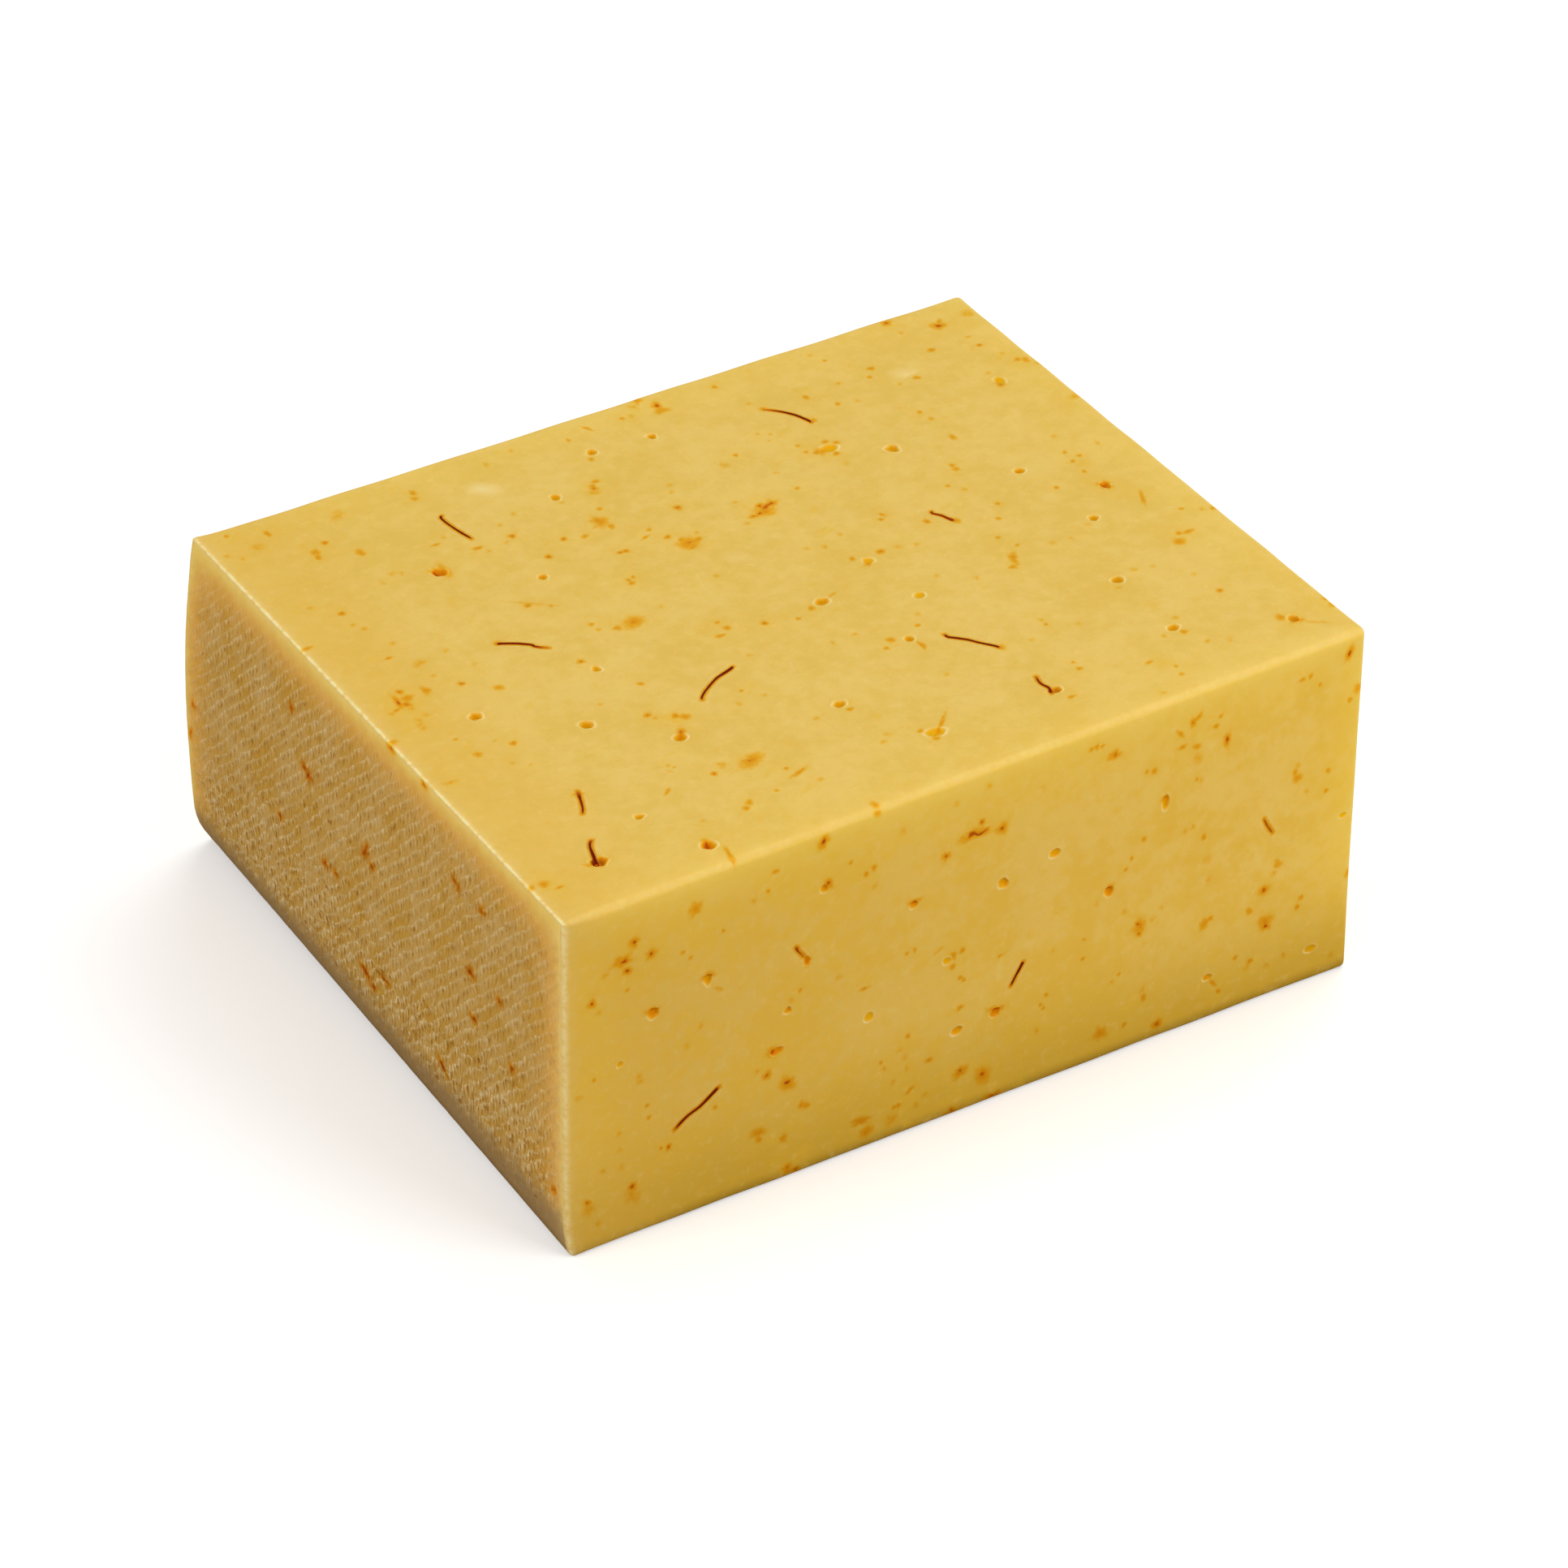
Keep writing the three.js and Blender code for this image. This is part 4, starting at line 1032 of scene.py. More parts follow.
def new_group(name: str, inputs: dict, outputs: dict) -> tuple[bpy.types.NodeTree, Bench, dict, bpy.types.Node]:
    """Starts a shader node group.

    Args:
        name: The group's name.
        inputs: Socket kinds by input name.
        outputs: Socket kinds by output name.

    Returns:
        The group's tree, its bench, its input sockets by name and its output node.
    """
    tree = bpy.data.node_groups.new(name, "ShaderNodeTree")
    for direction, sockets in (("INPUT", inputs), ("OUTPUT", outputs)):
        for label, kind in sockets.items():
            tree.interface.new_socket(label, in_out=direction, socket_type=kind)
    bench = Bench(tree)
    entry = bench.add("NodeGroupInput")
    return tree, bench, {label: entry.outputs[label] for label in inputs}, bench.add("NodeGroupOutput")


COLOUR, VALUE = "NodeSocketColor", "NodeSocketFloat"


@dataclass(frozen=True)
class SaffronStain:
    """What saffron leaves of the light that the cheese sends back, step by step, a painted highlight on an eye's pale
    lip, and a tint with painted light and shade inside eyes and pores.
    """

    halo: tuple = (0.98, 0.81, 0.31, 1.0)
    spot: tuple = (0.98, 0.84, 0.32, 1.0)
    deep: tuple = (0.91, 0.74, 0.5, 1.0)
    red: tuple = (0.83, 0.49, 0.42, 1.0)
    core: tuple = (0.58, 0.3, 0.5, 1.0)
    # Painted highlight: the pale crescent on an eye's lip; the same colour pales the scratches and the lines beside
    # threads.
    lip_and_glint: tuple = tone(255, 238, 176)

    def group(self) -> bpy.types.NodeTree:
        """The shader group: a base colour in, the stained colour out."""
        tree, bench, given, out = new_group("saffron_stain", {"Base": COLOUR, "Hollow": COLOUR}, {"Colour": COLOUR})
        place = bench.place()
        wander = bench.noise(place, 1300.0, 3.0, 0.6)
        fine = bench.noise(place, 4200.0, 2.0, 0.6)
        drift = bench.math("MULTIPLY", bench.math("SUBTRACT", wander, 0.5), 0.7)
        drift = bench.math("ADD", drift, bench.math("MULTIPLY", bench.math("SUBTRACT", fine, 0.5), 0.3))
        seen = bench.attribute("stain")
        seen = bench.math("ADD", seen, bench.math("MULTIPLY", drift, bench.span(seen, 0.0, 0.35)))
        dark = bench.attribute("ember")
        dark = bench.math("ADD", dark, bench.math("MULTIPLY", drift, bench.span(dark, 0.0, 0.35)))
        # Inside the eyes and pores the colour is multiplied by the hollow tint: on the paste orange, its red raised
        # against the shade there as painted light; in the rind's pores painted shade.
        colour = bench.mix(bench.attribute("pit"), given["Base"], given["Hollow"], "MULTIPLY")
        # Painted highlight on the eyes' lips, with the pale scratches and thread lines.
        colour = bench.mix(bench.math("MULTIPLY", bench.attribute("glint_and_pale_lines"), 0.7), colour, self.lip_and_glint)
        for value, low, high, left in (
            (seen, 0.04, 0.5, self.halo), (seen, 0.26, 0.72, self.spot), (seen, 0.6, 1.05, self.deep),
            (dark, 0.15, 0.6, self.red), (dark, 0.5, 1.0, self.core),
        ):
            colour = bench.mix(bench.span(value, low, high), colour, left, "MULTIPLY")
        bench.feed(out.inputs["Colour"], colour)
        return tree


@dataclass(frozen=True)
class SurfaceGrain:
    """The fine unevenness that paste, rind and threads all have, each at its own size."""

    def group(self) -> bpy.types.NodeTree:
        """The shader group: pattern size in, a height from 0 to 1 and clouds from 0 to 1 out."""
        tree, bench, given, out = new_group(
            "surface_grain", {"Scale": VALUE}, {"Height": VALUE, "Clouds": VALUE})
        place = bench.place()
        scaled = bench.add("ShaderNodeVectorMath", operation="SCALE")
        bench.feed(scaled.inputs[0], place)
        bench.feed(scaled.inputs["Scale"], given["Scale"])
        bench.feed(out.inputs["Height"], bench.noise(scaled.outputs[0], 1.0, 4.0, 0.65))
        bench.feed(out.inputs["Clouds"], bench.noise(scaled.outputs[0], 0.06, 3.0, 0.55))
        return tree


# Finishes

@dataclass(frozen=True)
class Finish:
    """A finish on the principled shader: constant values here, colour and bump by each kind."""

    name: str
    roughness: float
    specular: float = 0.05
    soft_weight: float = 0.0
    soft_radius: tuple = (1.0, 0.4, 0.1)
    soft_scale: float = 0.002
    bump_distance: float = 0.00005
    bump_strength: float = 0.5

    def start(self) -> tuple[bpy.types.Material, Bench, bpy.types.Node]:
        """A new material, its bench and its principled shader with the constant values set."""
        material = bpy.data.materials.new(self.name)
        material.use_nodes = True
        bench = Bench(material.node_tree)
        shader = next(node for node in material.node_tree.nodes if node.type == "BSDF_PRINCIPLED")
        shader.inputs["Roughness"].default_value = self.roughness
        shader.inputs["Specular IOR Level"].default_value = self.specular
        shader.inputs["Subsurface Weight"].default_value = self.soft_weight
        shader.inputs["Subsurface Radius"].default_value = self.soft_radius
        shader.inputs["Subsurface Scale"].default_value = self.soft_scale
        return material, bench, shader

    def bump(self, bench: Bench, shader: bpy.types.Node, height) -> None:
        """Feeds a height from 0 to 1 into the shader's normal."""
        node = bench.add("ShaderNodeBump")
        node.inputs["Strength"].default_value = self.bump_strength
        node.inputs["Distance"].default_value = self.bump_distance
        bench.feed(node.inputs["Height"], height)
        bench.feed(shader.inputs["Normal"], node.outputs["Normal"])

    def grouped(self, bench: Bench, tree: bpy.types.NodeTree, **values) -> bpy.types.Node:
        """A shared group placed in this material with its own values."""
        node = bench.add("ShaderNodeGroup", node_tree=tree)
        for name, value in values.items():
            bench.feed(node.inputs[name], value)
        return node


@dataclass(frozen=True)
class PasteFinish(Finish):
    """The cut paste: waxy, a little translucent, faintly clouded and streaked, with painted light: a top and sides
    coloured apart, painted shade low down and beside the rind, and a painted glow and highlight at the edges.
    """

    # Painted light: light and deep, the top's tones, and near and far, the sides' tones, are separate copies of the
    # paste's colour matched to how the top and the sides are lit.
    light: tuple = tone(236, 200, 106)
    deep: tuple = tone(230, 191, 90)
    # Painted light: the sides run from near, darker at the rind end, to far, lighter at the far end, as the light
    # falls.
    near: tuple = tone(230, 187, 86)
    far: tuple = tone(241, 200, 98)
    # Painted shade: low darkens the sides towards the bottom, and the painted contact shadow their very foot.
    low: tuple = tone(208, 163, 48)
    painted_contact_shadow: tuple = tone(128, 94, 22)
    golden: tuple = tone(233, 182, 50)
    shaded: tuple = tone(228, 180, 76)
    # Painted light: a warm glow near the cut edges.
    painted_edge_glow: tuple = tone(255, 210, 76)
    # Painted highlight: a pale line on the cut edges.
    painted_edge_highlight: tuple = tone(255, 236, 172)
    fleck: tuple = tone(248, 220, 136)
    # Orange tint inside the eyes, its red raised above 1 to offset their shade: partly painted light.
    hollow_tint_and_shade: tuple = (1.04, 0.85, 0.05, 1.0)
    half_length: float = 0.077

    def build(self, stain: bpy.types.NodeTree, grain: bpy.types.NodeTree) -> bpy.types.Material:
        """The paste's material."""
        material, bench, shader = self.start()
        place = bench.place()
        fine = self.grouped(bench, grain, Scale=1700.0)
        clouds = bench.noise(place, 85.0, 3.0, 0.55)
        curds = bench.noise(place, 360.0, 4.0, 0.62)
        shade = bench.math("ADD", bench.math("MULTIPLY", clouds, 0.5), bench.math("MULTIPLY", curds, 0.5))
        place_parts = bench.add("ShaderNodeSeparateXYZ")
        bench.feed(place_parts.inputs[0], place)
        length, height = place_parts.outputs["X"], place_parts.outputs["Z"]
        # Painted light: lighter along the length towards the far end.
        painted_light_along_length = bench.mix(bench.span(length, -self.half_length, self.half_length), self.near, self.far)
        top = bench.mix(bench.span(shade, 0.38, 0.64), self.light, self.deep)
        side = bench.mix(bench.span(shade, 0.4, 0.6, 0.0, 0.52), painted_light_along_length, self.golden)
        # Painted light: the top takes its own copy of the paste's colour and the sides another.
        colour = bench.mix(bench.span(height, 0.066, 0.058), top, side)
        # Painted shade: darker towards the bottom of the sides, and a painted contact shadow along the foot.
        colour = bench.mix(bench.span(height, 0.026, -0.003, 0.0, 0.95), colour, self.low)
        colour = bench.mix(bench.span(height, 0.003, 0.0, 0.0, 0.6), colour, self.painted_contact_shadow)
        beside_rind = bench.span(length, -0.05, -0.07, 0.0, 0.42)
        colour = bench.mix(beside_rind, colour, self.shaded)
        drawn = bench.noise(bench.turned(place, (0.0, 0.0, -0.45), (0.6, 1.0, 1.0)), 380.0, 4.0, 0.62, 0.5)
        aura = bench.math("MULTIPLY", bench.attribute("aura"), bench.span(drawn, 0.3, 0.6, 0.4, 1.0))
        aura = bench.math("ADD", bench.span(drawn, 0.56, 0.76, 0.0, 0.4), bench.math("MULTIPLY", aura, 0.75), True)
        colour = bench.mix(aura, colour, self.golden)
        # Painted glow near the cut edges.
        colour = bench.mix(bench.math("MULTIPLY", bench.attribute("painted_edge_glow"), 0.75), colour, self.painted_edge_glow)
        flecks = bench.noise(place, 560.0, 3.0, 0.6)
        colour = bench.mix(bench.span(flecks, 0.5, 0.8, 0.0, 0.2), colour, self.fleck)
        broken = bench.span(bench.noise(place, 900.0, 3.0, 0.6), 0.3, 0.6, 0.55, 1.15)
        # Painted highlight line on the edges, broken by noise.
        colour = bench.mix(bench.math("MULTIPLY", bench.attribute("line"), broken, True), colour, self.painted_edge_highlight)
        stained = self.grouped(bench, stain, Base=colour, Hollow=self.hollow_tint_and_shade)
        bench.feed(shader.inputs["Base Color"], stained.outputs["Colour"])
        bench.feed(shader.inputs["Roughness"], bench.span(fine.outputs["Clouds"], 0.3, 0.7, 0.38, 0.52))
        self.bump(bench, shader, bench.math("ADD", fine.outputs["Height"], bench.math("MULTIPLY", curds, 1.6)))
        return material


@dataclass(frozen=True)
class RindFinish(Finish):
    """The washed rind: pale crests round ochre pores, partly painted highlight and shade of the relief, orange towards
    the cut edges, a grey-brown heel darkened partly as painted shade, a painted contact shadow at the foot and a
    painted highlight on the edges.
    """

    skin: tuple = tone(203, 161, 88)
    # Partly painted light: the pale crest and the dark gap stand for the print's colour and also for the light and
    # shade of its relief.
    crest_and_highlight: tuple = tone(232, 204, 150)
    gap: tuple = tone(164, 112, 34)
    ochre: tuple = tone(196, 146, 50)
    orange: tuple = tone(240, 180, 84)
    margin: tuple = tone(246, 209, 104)
    # Darker heel: partly the rind's own colour, partly painted shade.
    heel: tuple = tone(156, 124, 80)
    # Painted contact shadow along the rind's foot.
    painted_contact_shadow: tuple = tone(128, 94, 50)
    # Painted highlight: a pale line on the rind's edges.
    painted_edge_highlight: tuple = tone(255, 234, 178)
    # Painted shade: darker rind pores.
    hollow_tint_and_shade: tuple = (0.7, 0.55, 0.4, 1.0)
    rusty: tuple = (0.95, 0.7, 0.28, 1.0)
    tooth_pitch: float = 0.00105
    tooth_sway: float = 0.0022
    crack_top: float = 0.028
    row_sway: float = 0.8
    row_sway_low: float = 2.4

    def build(self, stain: bpy.types.NodeTree, grain: bpy.types.NodeTree) -> bpy.types.Material:
        """The rind's material."""
        material, bench, shader = self.start()
        place = bench.place()
        fine = self.grouped(bench, grain, Scale=2600.0)
        place_parts = bench.add("ShaderNodeSeparateXYZ")
        bench.feed(place_parts.inputs[0], place)
        height = place_parts.outputs["Z"]
        crust, printed = bench.attribute("crust"), bench.span(bench.attribute("printed"), 0.0, 0.5)
        crests, gaps = self.weave(bench, place, place_parts.outputs["Y"], height)
        patches = bench.noise(place, 130.0, 4.0, 0.62)
        colour = bench.mix(bench.span(patches, 0.36, 0.66, 0.0, 0.9), self.skin, self.ochre)
        # Pale crests and dark gaps of the print, partly painted highlight and shade of the relief.
        colour = bench.mix(bench.math("MULTIPLY", crests, printed), colour, self.crest_and_highlight)
        colour = bench.mix(bench.math("MULTIPLY", gaps, printed), colour, self.gap)
        ragged = bench.math("ADD", crust, bench.math(
            "MULTIPLY", bench.math("SUBTRACT", bench.noise(place, 300.0, 4.0, 0.6), 0.5), 0.4))
        colour = bench.mix(bench.span(ragged, 1.04, 0.45, 0.0, 0.68), colour, self.orange)
        colour = bench.mix(bench.span(ragged, 0.62, -0.05), colour, self.margin)
        # The heel darkens partly in the rind's own colour and partly as painted shade of its downward-turned surface.
        heel = bench.math("ADD", bench.attribute("heel"), bench.math(
            "MULTIPLY", bench.math("SUBTRACT", bench.noise(place, 420.0, 5.0, 0.65), 0.5), 0.9))
        colour = bench.mix(bench.span(heel, 0.0, 0.9, 0.0, 0.85), colour, self.heel)
        # Painted contact shadow along the rind's foot.
        colour = bench.mix(bench.span(height, 0.0035, 0.0, 0.0, 0.6), colour, self.painted_contact_shadow)
        # Painted highlight line on the rind's edges, broken by noise.
        broken = bench.span(bench.noise(place, 1300.0, 3.0, 0.6), 0.35, 0.6, 0.4, 1.2)
        colour = bench.mix(bench.math("MULTIPLY", bench.attribute("line"), broken, True), colour, self.painted_edge_highlight)
        aura = bench.math("MULTIPLY", bench.attribute("aura"), bench.span(patches, 0.3, 0.6, 0.7, 1.0))
        colour = bench.mix(aura, colour, self.rusty, "MULTIPLY")
        stained = self.grouped(bench, stain, Base=colour, Hollow=self.hollow_tint_and_shade)
        bench.feed(shader.inputs["Base Color"], stained.outputs["Colour"])
        raised = bench.math("SUBTRACT", bench.math("MULTIPLY", crests, 0.4), bench.math("MULTIPLY", gaps, 0.2))
        raised = bench.math("MULTIPLY", bench.math("ADD", raised, 0.5), printed)
        raised = bench.math("ADD", raised, bench.math("MULTIPLY", fine.outputs["Height"], 0.3))
        self.bump(bench, shader, raised)
        return material

    def weave(self, bench: Bench, place: bpy.types.NodeSocket, across: bpy.types.NodeSocket,
              height: bpy.types.NodeSocket) -> tuple[bpy.types.NodeSocket, bpy.types.NodeSocket]:
        """The print of the mould's cloth, partly painted light: a pale ridge on each row and upright teeth that hang
        from it.

        Args:
            bench: The material's bench.
            place: Object coordinates.
            across: The coordinate that runs along the rind.
            height: The coordinate that runs up the rind.

        Returns:
            The pale crests and the dark gaps between teeth, each from 0 to 1, partly painted highlight and shade of the
            relief.
        """
        wander = bench.math("SUBTRACT", bench.noise(place, 420.0, 3.0, 0.6), 0.5)
        sway = bench.math("MULTIPLY", wander, bench.span(height, 0.01, 0.034, self.row_sway_low, self.row_sway))
        row = bench.math("ADD", bench.attribute("row"), sway)
        below = bench.math("SUBTRACT", 1.0, bench.math("FRACT", row))
        upright = bench.turned(place, (0.0, 0.0, 0.0), (1.0, 1.0, 0.3))
        strands = bench.noise(upright, 1500.0, 3.0, 0.65)
        lean = bench.math("SUBTRACT", bench.noise(upright, 420.0, 2.0, 0.6), 0.5)
        tooth = bench.math("MULTIPLY", lean, self.tooth_sway / self.tooth_pitch)
        tooth = bench.math("ADD", tooth, bench.math("DIVIDE", across, self.tooth_pitch))
        tooth = bench.math("ADD", tooth, bench.math("MULTIPLY", bench.math("FLOOR", row), 0.37))
        even = bench.math("COSINE", bench.math("MULTIPLY", tooth, 2.0 * math.pi))
        uneven = bench.math("MULTIPLY", bench.math("SUBTRACT", strands, 0.5), 4.6)
        wave = bench.math("ADD", bench.math("MULTIPLY", even, 0.42), uneven)
        breaks = bench.noise(place, 560.0, 4.0, 0.7)
        ridge = bench.math("MULTIPLY", bench.span(below, 0.48, 0.02), bench.span(wave, -0.5, 0.7, 0.2, 0.95))
        ridge = bench.math("MULTIPLY", ridge, bench.span(breaks, 0.36, 0.62, 0.2, 1.0))
        teeth = bench.math("MULTIPLY", bench.span(wave, 0.1, 1.0), bench.span(below, 0.95, 0.2))
        teeth = bench.math("MULTIPLY", teeth, bench.span(breaks, 0.7, 0.4, 0.2, 0.75))
        gaps = bench.math("MULTIPLY", bench.span(wave, 0.15, -0.9), bench.span(below, 0.1, 0.4))
        gaps = bench.math("MULTIPLY", gaps, bench.span(below, 1.0, 0.6, 0.15, 1.0))
        gaps = bench.math("MULTIPLY", gaps, bench.span(breaks, 0.4, 0.6, 0.25, 0.95))
        split = bench.math("MULTIPLY", bench.span(bench.math("ABSOLUTE", lean), 0.016, 0.004),
                           bench.span(bench.noise(place, 170.0, 2.0, 0.5), 0.5, 0.6, 0.0, 0.9))
        cracks = bench.math("MULTIPLY", split, bench.span(height, self.crack_top, 0.016))
        rougher = bench.span(height, 0.034, 0.014, 1.0, 1.6)
        return bench.math("MULTIPLY", bench.math("MAXIMUM", ridge, teeth), rougher, True), bench.math(
            "MAXIMUM", bench.math("MULTIPLY", gaps, rougher, True), cracks)


@dataclass(frozen=True)
class SaffronFinish(Finish):
    """The threads: dark red-brown, thinning to orange at one end."""

    dark: tuple = tone(104, 16, 1)
    red: tuple = tone(172, 62, 4)
    pale: tuple = tone(222, 136, 20)

    def build(self, stain: bpy.types.NodeTree, grain: bpy.types.NodeTree) -> bpy.types.Material:
        """The threads' material."""
        material, bench, shader = self.start()
        fine = self.grouped(bench, grain, Scale=4200.0)
        flank = bench.math("MULTIPLY", bench.attribute("thread_flank"), 0.5)
        fading = bench.attribute("thread_pale")
        reddened = bench.math("ADD", flank, bench.math("MULTIPLY", fine.outputs["Height"], 0.4))
        reddened = bench.math("ADD", reddened, bench.math("MULTIPLY", fading, 1.2))
        colour = bench.mix(bench.span(reddened, 0.25, 1.0), self.dark, self.red)
        colour = bench.mix(bench.span(fading, 0.3, 1.0), colour, self.pale)
        bench.feed(shader.inputs["Base Color"], colour)
        self.bump(bench, shader, fine.outputs["Height"])
        return material


def finishes() -> tuple[bpy.types.Material, bpy.types.Material, bpy.types.Material]:
    """The materials of the paste, the rind and the threads, which share two groups."""
    stain = SaffronStain().group()
    grain = SurfaceGrain().group()
    paste = PasteFinish("cut_paste", 0.45, specular=0.03, soft_weight=0.4, soft_scale=0.0008).build(stain, grain)
    rind_skin = RindFinish("washed_rind", 0.6, bump_distance=0.0003).build(stain, grain)
    thread_skin = SaffronFinish("saffron_red", 0.5, specular=0.03, bump_distance=0.00008).build(stain, grain)
    return paste, rind_skin, thread_skin


# Pieces

def make_piece(name: str, points: np.ndarray, faces: list, fields: dict, materials: list) -> bpy.types.Object:
    """Makes one smooth-shaded piece that rides on the block's body.

    Args:
        name: The piece's name.
        points: Points in mm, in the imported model's frame.
        faces: Faces as lists of point numbers.
        fields: Values at the points by attribute name.
        materials: The piece's materials in slot order.

    Returns:
        The new object.
    """
    mesh = bpy.data.meshes.new(name)
    mesh.from_pydata((points * MM).tolist(), [], faces)
    for label, values in fields.items():
        stored = mesh.attributes.new(label, "FLOAT", "POINT")
        stored.data.foreach_set("value", values.astype(np.float32))
    for material in materials:
        mesh.materials.append(material)
    mesh.polygons.foreach_set("use_smooth", np.ones(len(mesh.polygons), dtype=bool))
    piece = bpy.data.objects.new(name, mesh)
    bpy.context.scene.collection.objects.link(piece)
    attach(piece, BODY)
    return piece


@dataclass
class CheeseBlock:
    """The block itself: paste with its eyes and stains, and the printed rind on one end."""

    form: BlockForm
    saffron: Saffron

    def build(self, paste: bpy.types.Material, rind_skin: bpy.types.Material) -> bpy.types.Object:
        """Builds the closed block, presses its relief and dresses it.

        Args:
            paste: Material of the cut faces.
            rind_skin: Material of the rind.

        Returns:
            The block's object.
        """
        box, faces, sides = CrowdedBox(self.form, self.saffron).build()
        surface = SurfaceField(self.form, box)
        for number, eye in enumerate(self.saffron.eyes):
            surface.add_eye(eye, number)
        for number, mark in enumerate(self.saffron.marks, len(self.saffron.eyes)):
            surface.add_mark(mark, number)
        for thread in self.saffron.threads:
            surface.add_thread(thread)
        for scratch in SCRATCHES:
            surface.add_scratch(*scratch)
        rind, edge_light = RindPrint(self.form), PaintedEdgeLight(self.form)
        pressed, rows = rind.relief(box)
        knife = 0.03 * wave_field(box[:, 0] + box[:, 1], box[:, 2] - box[:, 1], 12, (0.02, 0.06), 0.0, 180.0, SEED + 5)
        cut = np.clip(box[:, 0] / 3.0, 0.0, 1.0)
        height = surface.height + pressed + cut * np.minimum(knife - 0.05, 0.0)
        rounded, outward = self.form.rounding(box)
        points = self.form.skew(rounded + outward * height[:, None], box)
        points[:, 2] = np.clip(points[:, 2], 0.0, None)
        fields = {
            "stain": surface.stain, "ember": surface.ember, "glint_and_pale_lines": surface.glint_and_pale_lines, "pit": surface.pit,
            "row": rows, "printed": rind.share(box), "crust": rind.crust(box), "heel": rind.heel(box),
            "painted_edge_glow": edge_light.painted_edge_glow(box), "line": edge_light.line(box), "aura": np.clip(surface.aura, 0.0, 1.0),
        }
        block = make_piece("cheese_block_dressed", points, faces.tolist(), fields, [paste, rind_skin])
        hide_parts(BLOCK_NODE)
        self.lay_rind(block, box, faces, sides)
        return block

    def lay_rind(self, block: bpy.types.Object, box: np.ndarray, faces: np.ndarray, sides: list) -> None:
        """Gives the faces of the rind, up to the rounding of its edges, the rind's material."""
        spot = box[faces].mean(axis=1)
        inner = np.minimum(spot, self.form.size - spot)
        inside = (inner[:, 1] > 1.0) & (self.form.height - spot[:, 2] > 0.6)
        on_rind = np.array([side is Side.RIND for side in sides]) & inside
        block.data.polygons.foreach_set("material_index", on_rind.astype(np.int32))


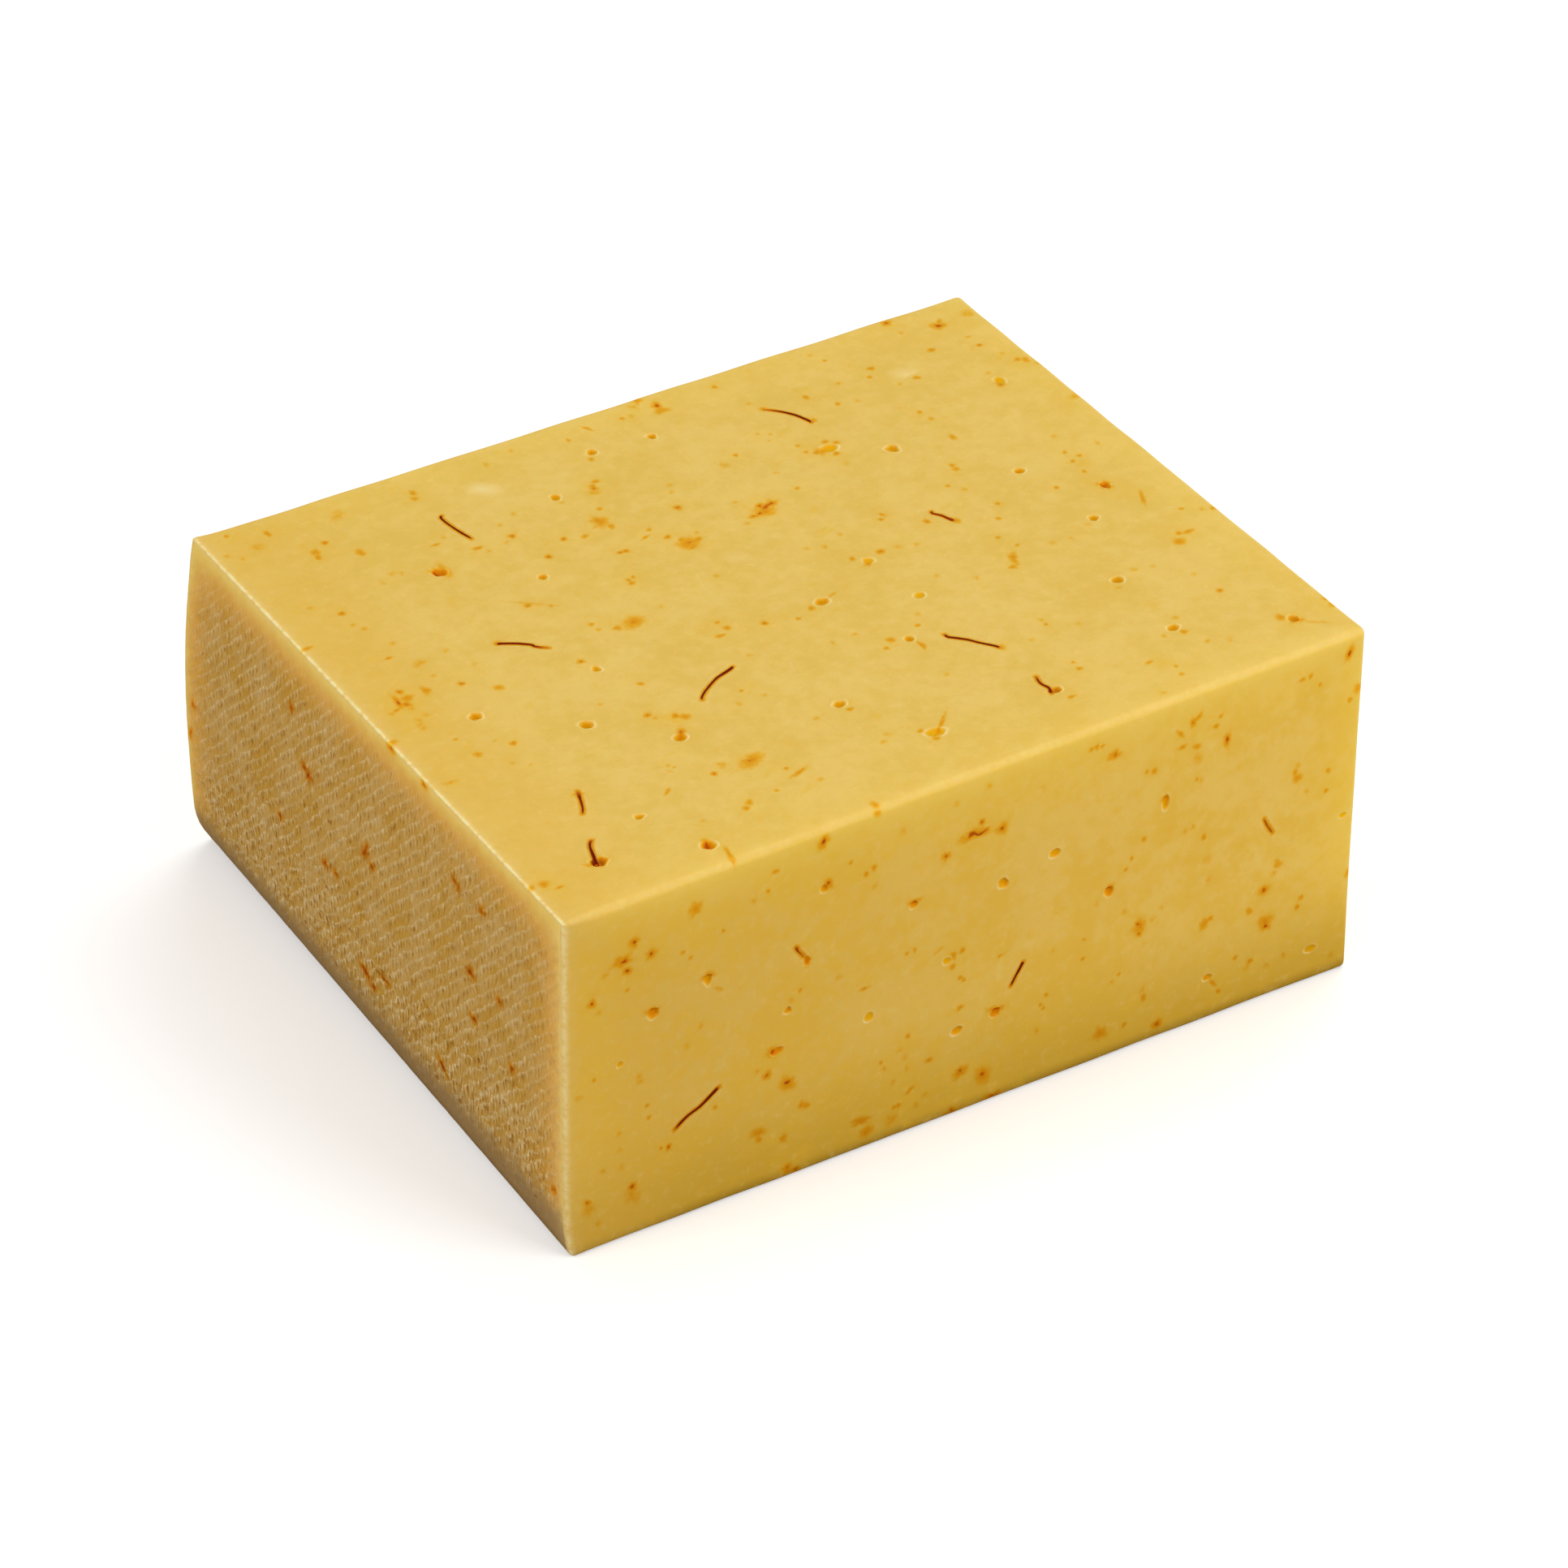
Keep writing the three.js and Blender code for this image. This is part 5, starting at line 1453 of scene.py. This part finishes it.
@dataclass
class SaffronThreads:
    """All saffron threads as one joined mesh: round tubes half sunk in the paste, mm."""

    form: BlockForm
    threads: list
    steps: int = 40
    sides: int = 12
    prouder: float = 0.07
    flatness: float = 0.8

    def build(self, saffron: bpy.types.Material) -> bpy.types.Object:
        """Builds the tubes and joins them."""
        points, faces = [], []
        made = 0
        turn = np.tile(np.arange(self.sides) * 2.0 * math.pi / self.sides, self.steps)
        fading = []
        for number, thread in enumerate(self.threads):
            tube = self.tube(thread, number)
            faces += (self.tube_faces() + made).tolist()
            faces += (self.cap_faces() + made).tolist()
            points.append(tube)
            fading.append(self.fading(thread))
            made += len(tube)
        fields = {
            "thread_pale": np.concatenate(fading),
            "thread_flank": np.tile(np.concatenate([np.abs(np.cos(turn)), [1.0, 1.0]]), len(self.threads)),
        }
        return make_piece("saffron_threads", np.concatenate(points), faces, fields, [saffron])

    def fading(self, thread: Thread) -> np.ndarray:
        """How far each point of a tube has faded to orange: fully at both ends."""
        share = np.repeat(np.linspace(0.0, 1.0, self.steps), self.sides)
        first, last = thread.pale
        end = np.maximum(1.0 - share / first, 1.0 - (1.0 - share) / last)
        return np.concatenate([np.clip(end, 1.0 - thread.dark, 1.0), [1.0, 1.0]])

    def tube(self, thread: Thread, number: int) -> np.ndarray:
        """One tube: a flattened circle carried along a smooth curve through the route.

        The curve is a cubic through each four neighbouring points. The half breadth falls from the
        head's to the body's as a bell, swells by a seeded wave, and closes as a square root at the tips.

        Args:
            thread: The thread.
            number: Its number, for the draw.

        Returns:
            The tube's points, ring by ring, with the two tips last.
        """
        share = np.linspace(0.0, 1.0, self.steps)
        flat = smooth_route(np.array(thread.route, float), share)
        along, up, outward = thread.side.axes()
        draw = np.random.default_rng(SEED + 500 + number)
        swell = 1.0 + 0.13 * np.sin(share * draw.uniform(9.0, 15.0) + draw.uniform(0.0, 6.0))
        closing = np.sqrt(np.clip(np.minimum(share / 0.08, (1.0 - share) / 0.12), 0.02, 1.0))
        half = 0.5 * blend(thread.body, thread.head, np.exp(-((share / thread.neck) ** 2))) * swell * closing
        ahead = np.gradient(flat, axis=0)
        ahead /= np.linalg.norm(ahead, axis=1, keepdims=True)
        aside = np.stack([-ahead[:, 1], ahead[:, 0]], axis=1)
        turn = np.arange(self.sides) * 2.0 * math.pi / self.sides
        sunk = self.prouder * closing - half * self.flatness
        first = flat[:, None, 0] + half[:, None] * np.cos(turn) * aside[:, None, 0]
        second = flat[:, None, 1] + half[:, None] * np.cos(turn) * aside[:, None, 1]
        lifted = sunk[:, None] + half[:, None] * self.flatness * np.sin(turn)
        origin = thread.side.spot(0.0, 0.0, self.form)
        ring = origin + first[..., None] * along + second[..., None] * up + lifted[..., None] * outward
        base = np.broadcast_to(
            origin + first[..., None] * along + second[..., None] * up, ring.shape).reshape(-1, 3)
        ring = self.form.skew(ring.reshape(-1, 3), base)
        tips = ring.reshape(self.steps, self.sides, 3)[[0, -1]].mean(axis=1)
        return np.concatenate([ring, tips])

    def tube_faces(self) -> np.ndarray:
        """The tube's four-cornered faces, ring by ring, facing outwards."""
        step, turn = np.meshgrid(np.arange(self.steps - 1), np.arange(self.sides), indexing="ij")
        following = (turn + 1) % self.sides
        low, high = step * self.sides, (step + 1) * self.sides
        corners = (low + turn, low + following, high + following, high + turn)
        return np.stack([corner.ravel() for corner in corners], axis=1)

    def cap_faces(self) -> np.ndarray:
        """The triangles that close the tube's two tips."""
        turn = np.arange(self.sides)
        following = (turn + 1) % self.sides
        last = (self.steps - 1) * self.sides
        first_tip = np.full(self.sides, self.steps * self.sides)
        near = np.stack([first_tip, following, turn], axis=1)
        far = np.stack([first_tip + 1, last + turn, last + following], axis=1)
        return np.concatenate([near, far])


def smooth_route(route: np.ndarray, share: np.ndarray) -> np.ndarray:
    """Points at equal parameters of a curve that runs smoothly through the route's points.

    Between two points it is the cubic that leaves and arrives along the line between the points
    before and after each, the first and last points being doubled.

    Args:
        route: The points, at least two.
        share: Parameters from 0 to 1.

    Returns:
        One point for each parameter.
    """
    padded = np.concatenate([route[:1], route, route[-1:]])
    place = share * (len(route) - 1)
    number = np.minimum(place.astype(int), len(route) - 2)
    t = (place - number)[:, None]
    before, start, end, after = (padded[number + step] for step in range(4))
    curve = 2.0 * start + (end - before) * t
    curve += (2.0 * before - 5.0 * start + 4.0 * end - after) * t**2
    curve += (3.0 * start - before - 3.0 * end + after) * t**3
    return 0.5 * curve


# Studio

@dataclass(frozen=True)
class Studio:
    """Floor, light and camera. The camera stands at the photo's viewing angle, mm and degrees."""

    target: tuple = (0.5, -0.7, 33.0)
    azimuth: float = -30.929
    elevation: float = 35.143
    distance: float = 927.0
    shift_right: float = 1.82
    shift_up: float = -6.396
    lens: float = 125.0
    floor_half: float = 3000.0

    def build(self) -> None:
        """Builds the whole studio."""
        self.floor()
        self.sky()
        self.lamps()
        self.camera()
        bpy.context.scene.view_settings.view_transform = "Standard"

    def floor(self) -> None:
        """A plain pale floor just under the block."""
        half = self.floor_half * MM
        mesh = bpy.data.meshes.new("studio_floor")
        corners = [(-half, -half, 0.0), (half, -half, 0.0), (half, half, 0.0), (-half, half, 0.0)]
        mesh.from_pydata(corners, [], [(0, 1, 2, 3)])
        material = bpy.data.materials.new("studio_white")
        material.use_nodes = True
        bench = Bench(material.node_tree)
        shader = next(node for node in material.node_tree.nodes if node.type == "BSDF_PRINCIPLED")
        shader.inputs["Roughness"].default_value = 0.9
        shader.inputs["Specular IOR Level"].default_value = 0.1
        path = bench.add("ShaderNodeLightPath")
        seen = path.outputs["Is Camera Ray"]
        bench.feed(shader.inputs["Base Color"], bench.mix(seen, (0.3, 0.29, 0.27, 1.0), (0.96, 0.96, 0.96, 1.0)))
        bench.feed(shader.inputs["Emission Color"], bench.mix(seen, (0.0, 0.0, 0.0, 1.0), (1.0, 1.0, 1.0, 1.0)))
        shader.inputs["Emission Strength"].default_value = 0.3
        mesh.materials.append(material)
        floor = bpy.data.objects.new("studio_floor", mesh)
        bpy.context.scene.collection.objects.link(floor)

    def sky(self) -> None:
        """Plain light from all round: white where the camera sees it, softer as light."""
        world = bpy.data.worlds.new("studio_sky")
        bpy.context.scene.world = world
        world.use_nodes = True
        bench = Bench(world.node_tree)
        backdrop = next(node for node in world.node_tree.nodes if node.type == "BACKGROUND")
        path = bench.add("ShaderNodeLightPath")
        strength = bench.math("ADD", bench.math("MULTIPLY", path.outputs["Is Camera Ray"], 0.6), 0.4)
        bench.feed(backdrop.inputs["Strength"], strength)
        backdrop.inputs["Color"].default_value = (1.0, 1.0, 1.0, 1.0)

    def lamps(self) -> None:
        """A broad key from above and behind on the right, and weak fills before both seen sides."""
        self.lamp("key", (420.0, 380.0, 900.0), 700.0, 3.2)
        self.lamp("front_fill", (520.0, -820.0, 420.0), 700.0, 5.6)
        self.lamp("rind_fill", (-890.0, -110.0, 420.0), 700.0, 4.3)

    def lamp(self, name: str, place: tuple, size: float, power: float) -> None:
        """One square area lamp that faces the block."""
        light = bpy.data.lights.new(name, "AREA")
        light.size = size * MM
        light.energy = power
        lamp = bpy.data.objects.new(name, light)
        spot = Vector(place) * MM
        aim = Vector(self.target) * MM - spot
        lamp.matrix_world = Matrix.Translation(spot) @ aim.to_track_quat("-Z", "Y").to_matrix().to_4x4()
        bpy.context.scene.collection.objects.link(lamp)

    def camera(self) -> None:
        """The camera at the photo's angle, upright, with no shift."""
        azimuth, elevation = math.radians(self.azimuth), math.radians(self.elevation)
        back = Vector((
            math.sin(azimuth) * math.cos(elevation),
            -math.cos(azimuth) * math.cos(elevation),
            math.sin(elevation),
        ))
        right = Vector((0.0, 0.0, 1.0)).cross(back).normalized()
        up = back.cross(right)
        spot = Vector(self.target) + back * self.distance + right * self.shift_right + up * self.shift_up
        data = bpy.data.cameras.new("studio_camera")
        data.lens = self.lens
        data.sensor_width = 36.0
        data.clip_start = 0.01
        data.clip_end = 20.0
        camera = bpy.data.objects.new("studio_camera", data)
        turn = Matrix((right, up, back)).transposed().to_4x4()
        camera.matrix_world = Matrix.Translation(spot * MM) @ turn
        bpy.context.scene.collection.objects.link(camera)
        bpy.context.scene.camera = camera


def main() -> None:
    """Builds the finishes, the block, its threads and the studio, and reports each piece."""
    logging.basicConfig(level=logging.INFO, format="%(name)s: %(message)s")
    form = BlockForm()
    saffron = Saffron(form)
    paste, rind_skin, thread_skin = finishes()
    block = CheeseBlock(form, saffron).build(paste, rind_skin)
    threads = SaffronThreads(form, saffron.threads).build(thread_skin)
    for piece in (block, threads):
        log.info("%s: %d points, %d faces", piece.name, len(piece.data.vertices), len(piece.data.polygons))
    Studio().build()


if __name__ == "__main__":
    main()
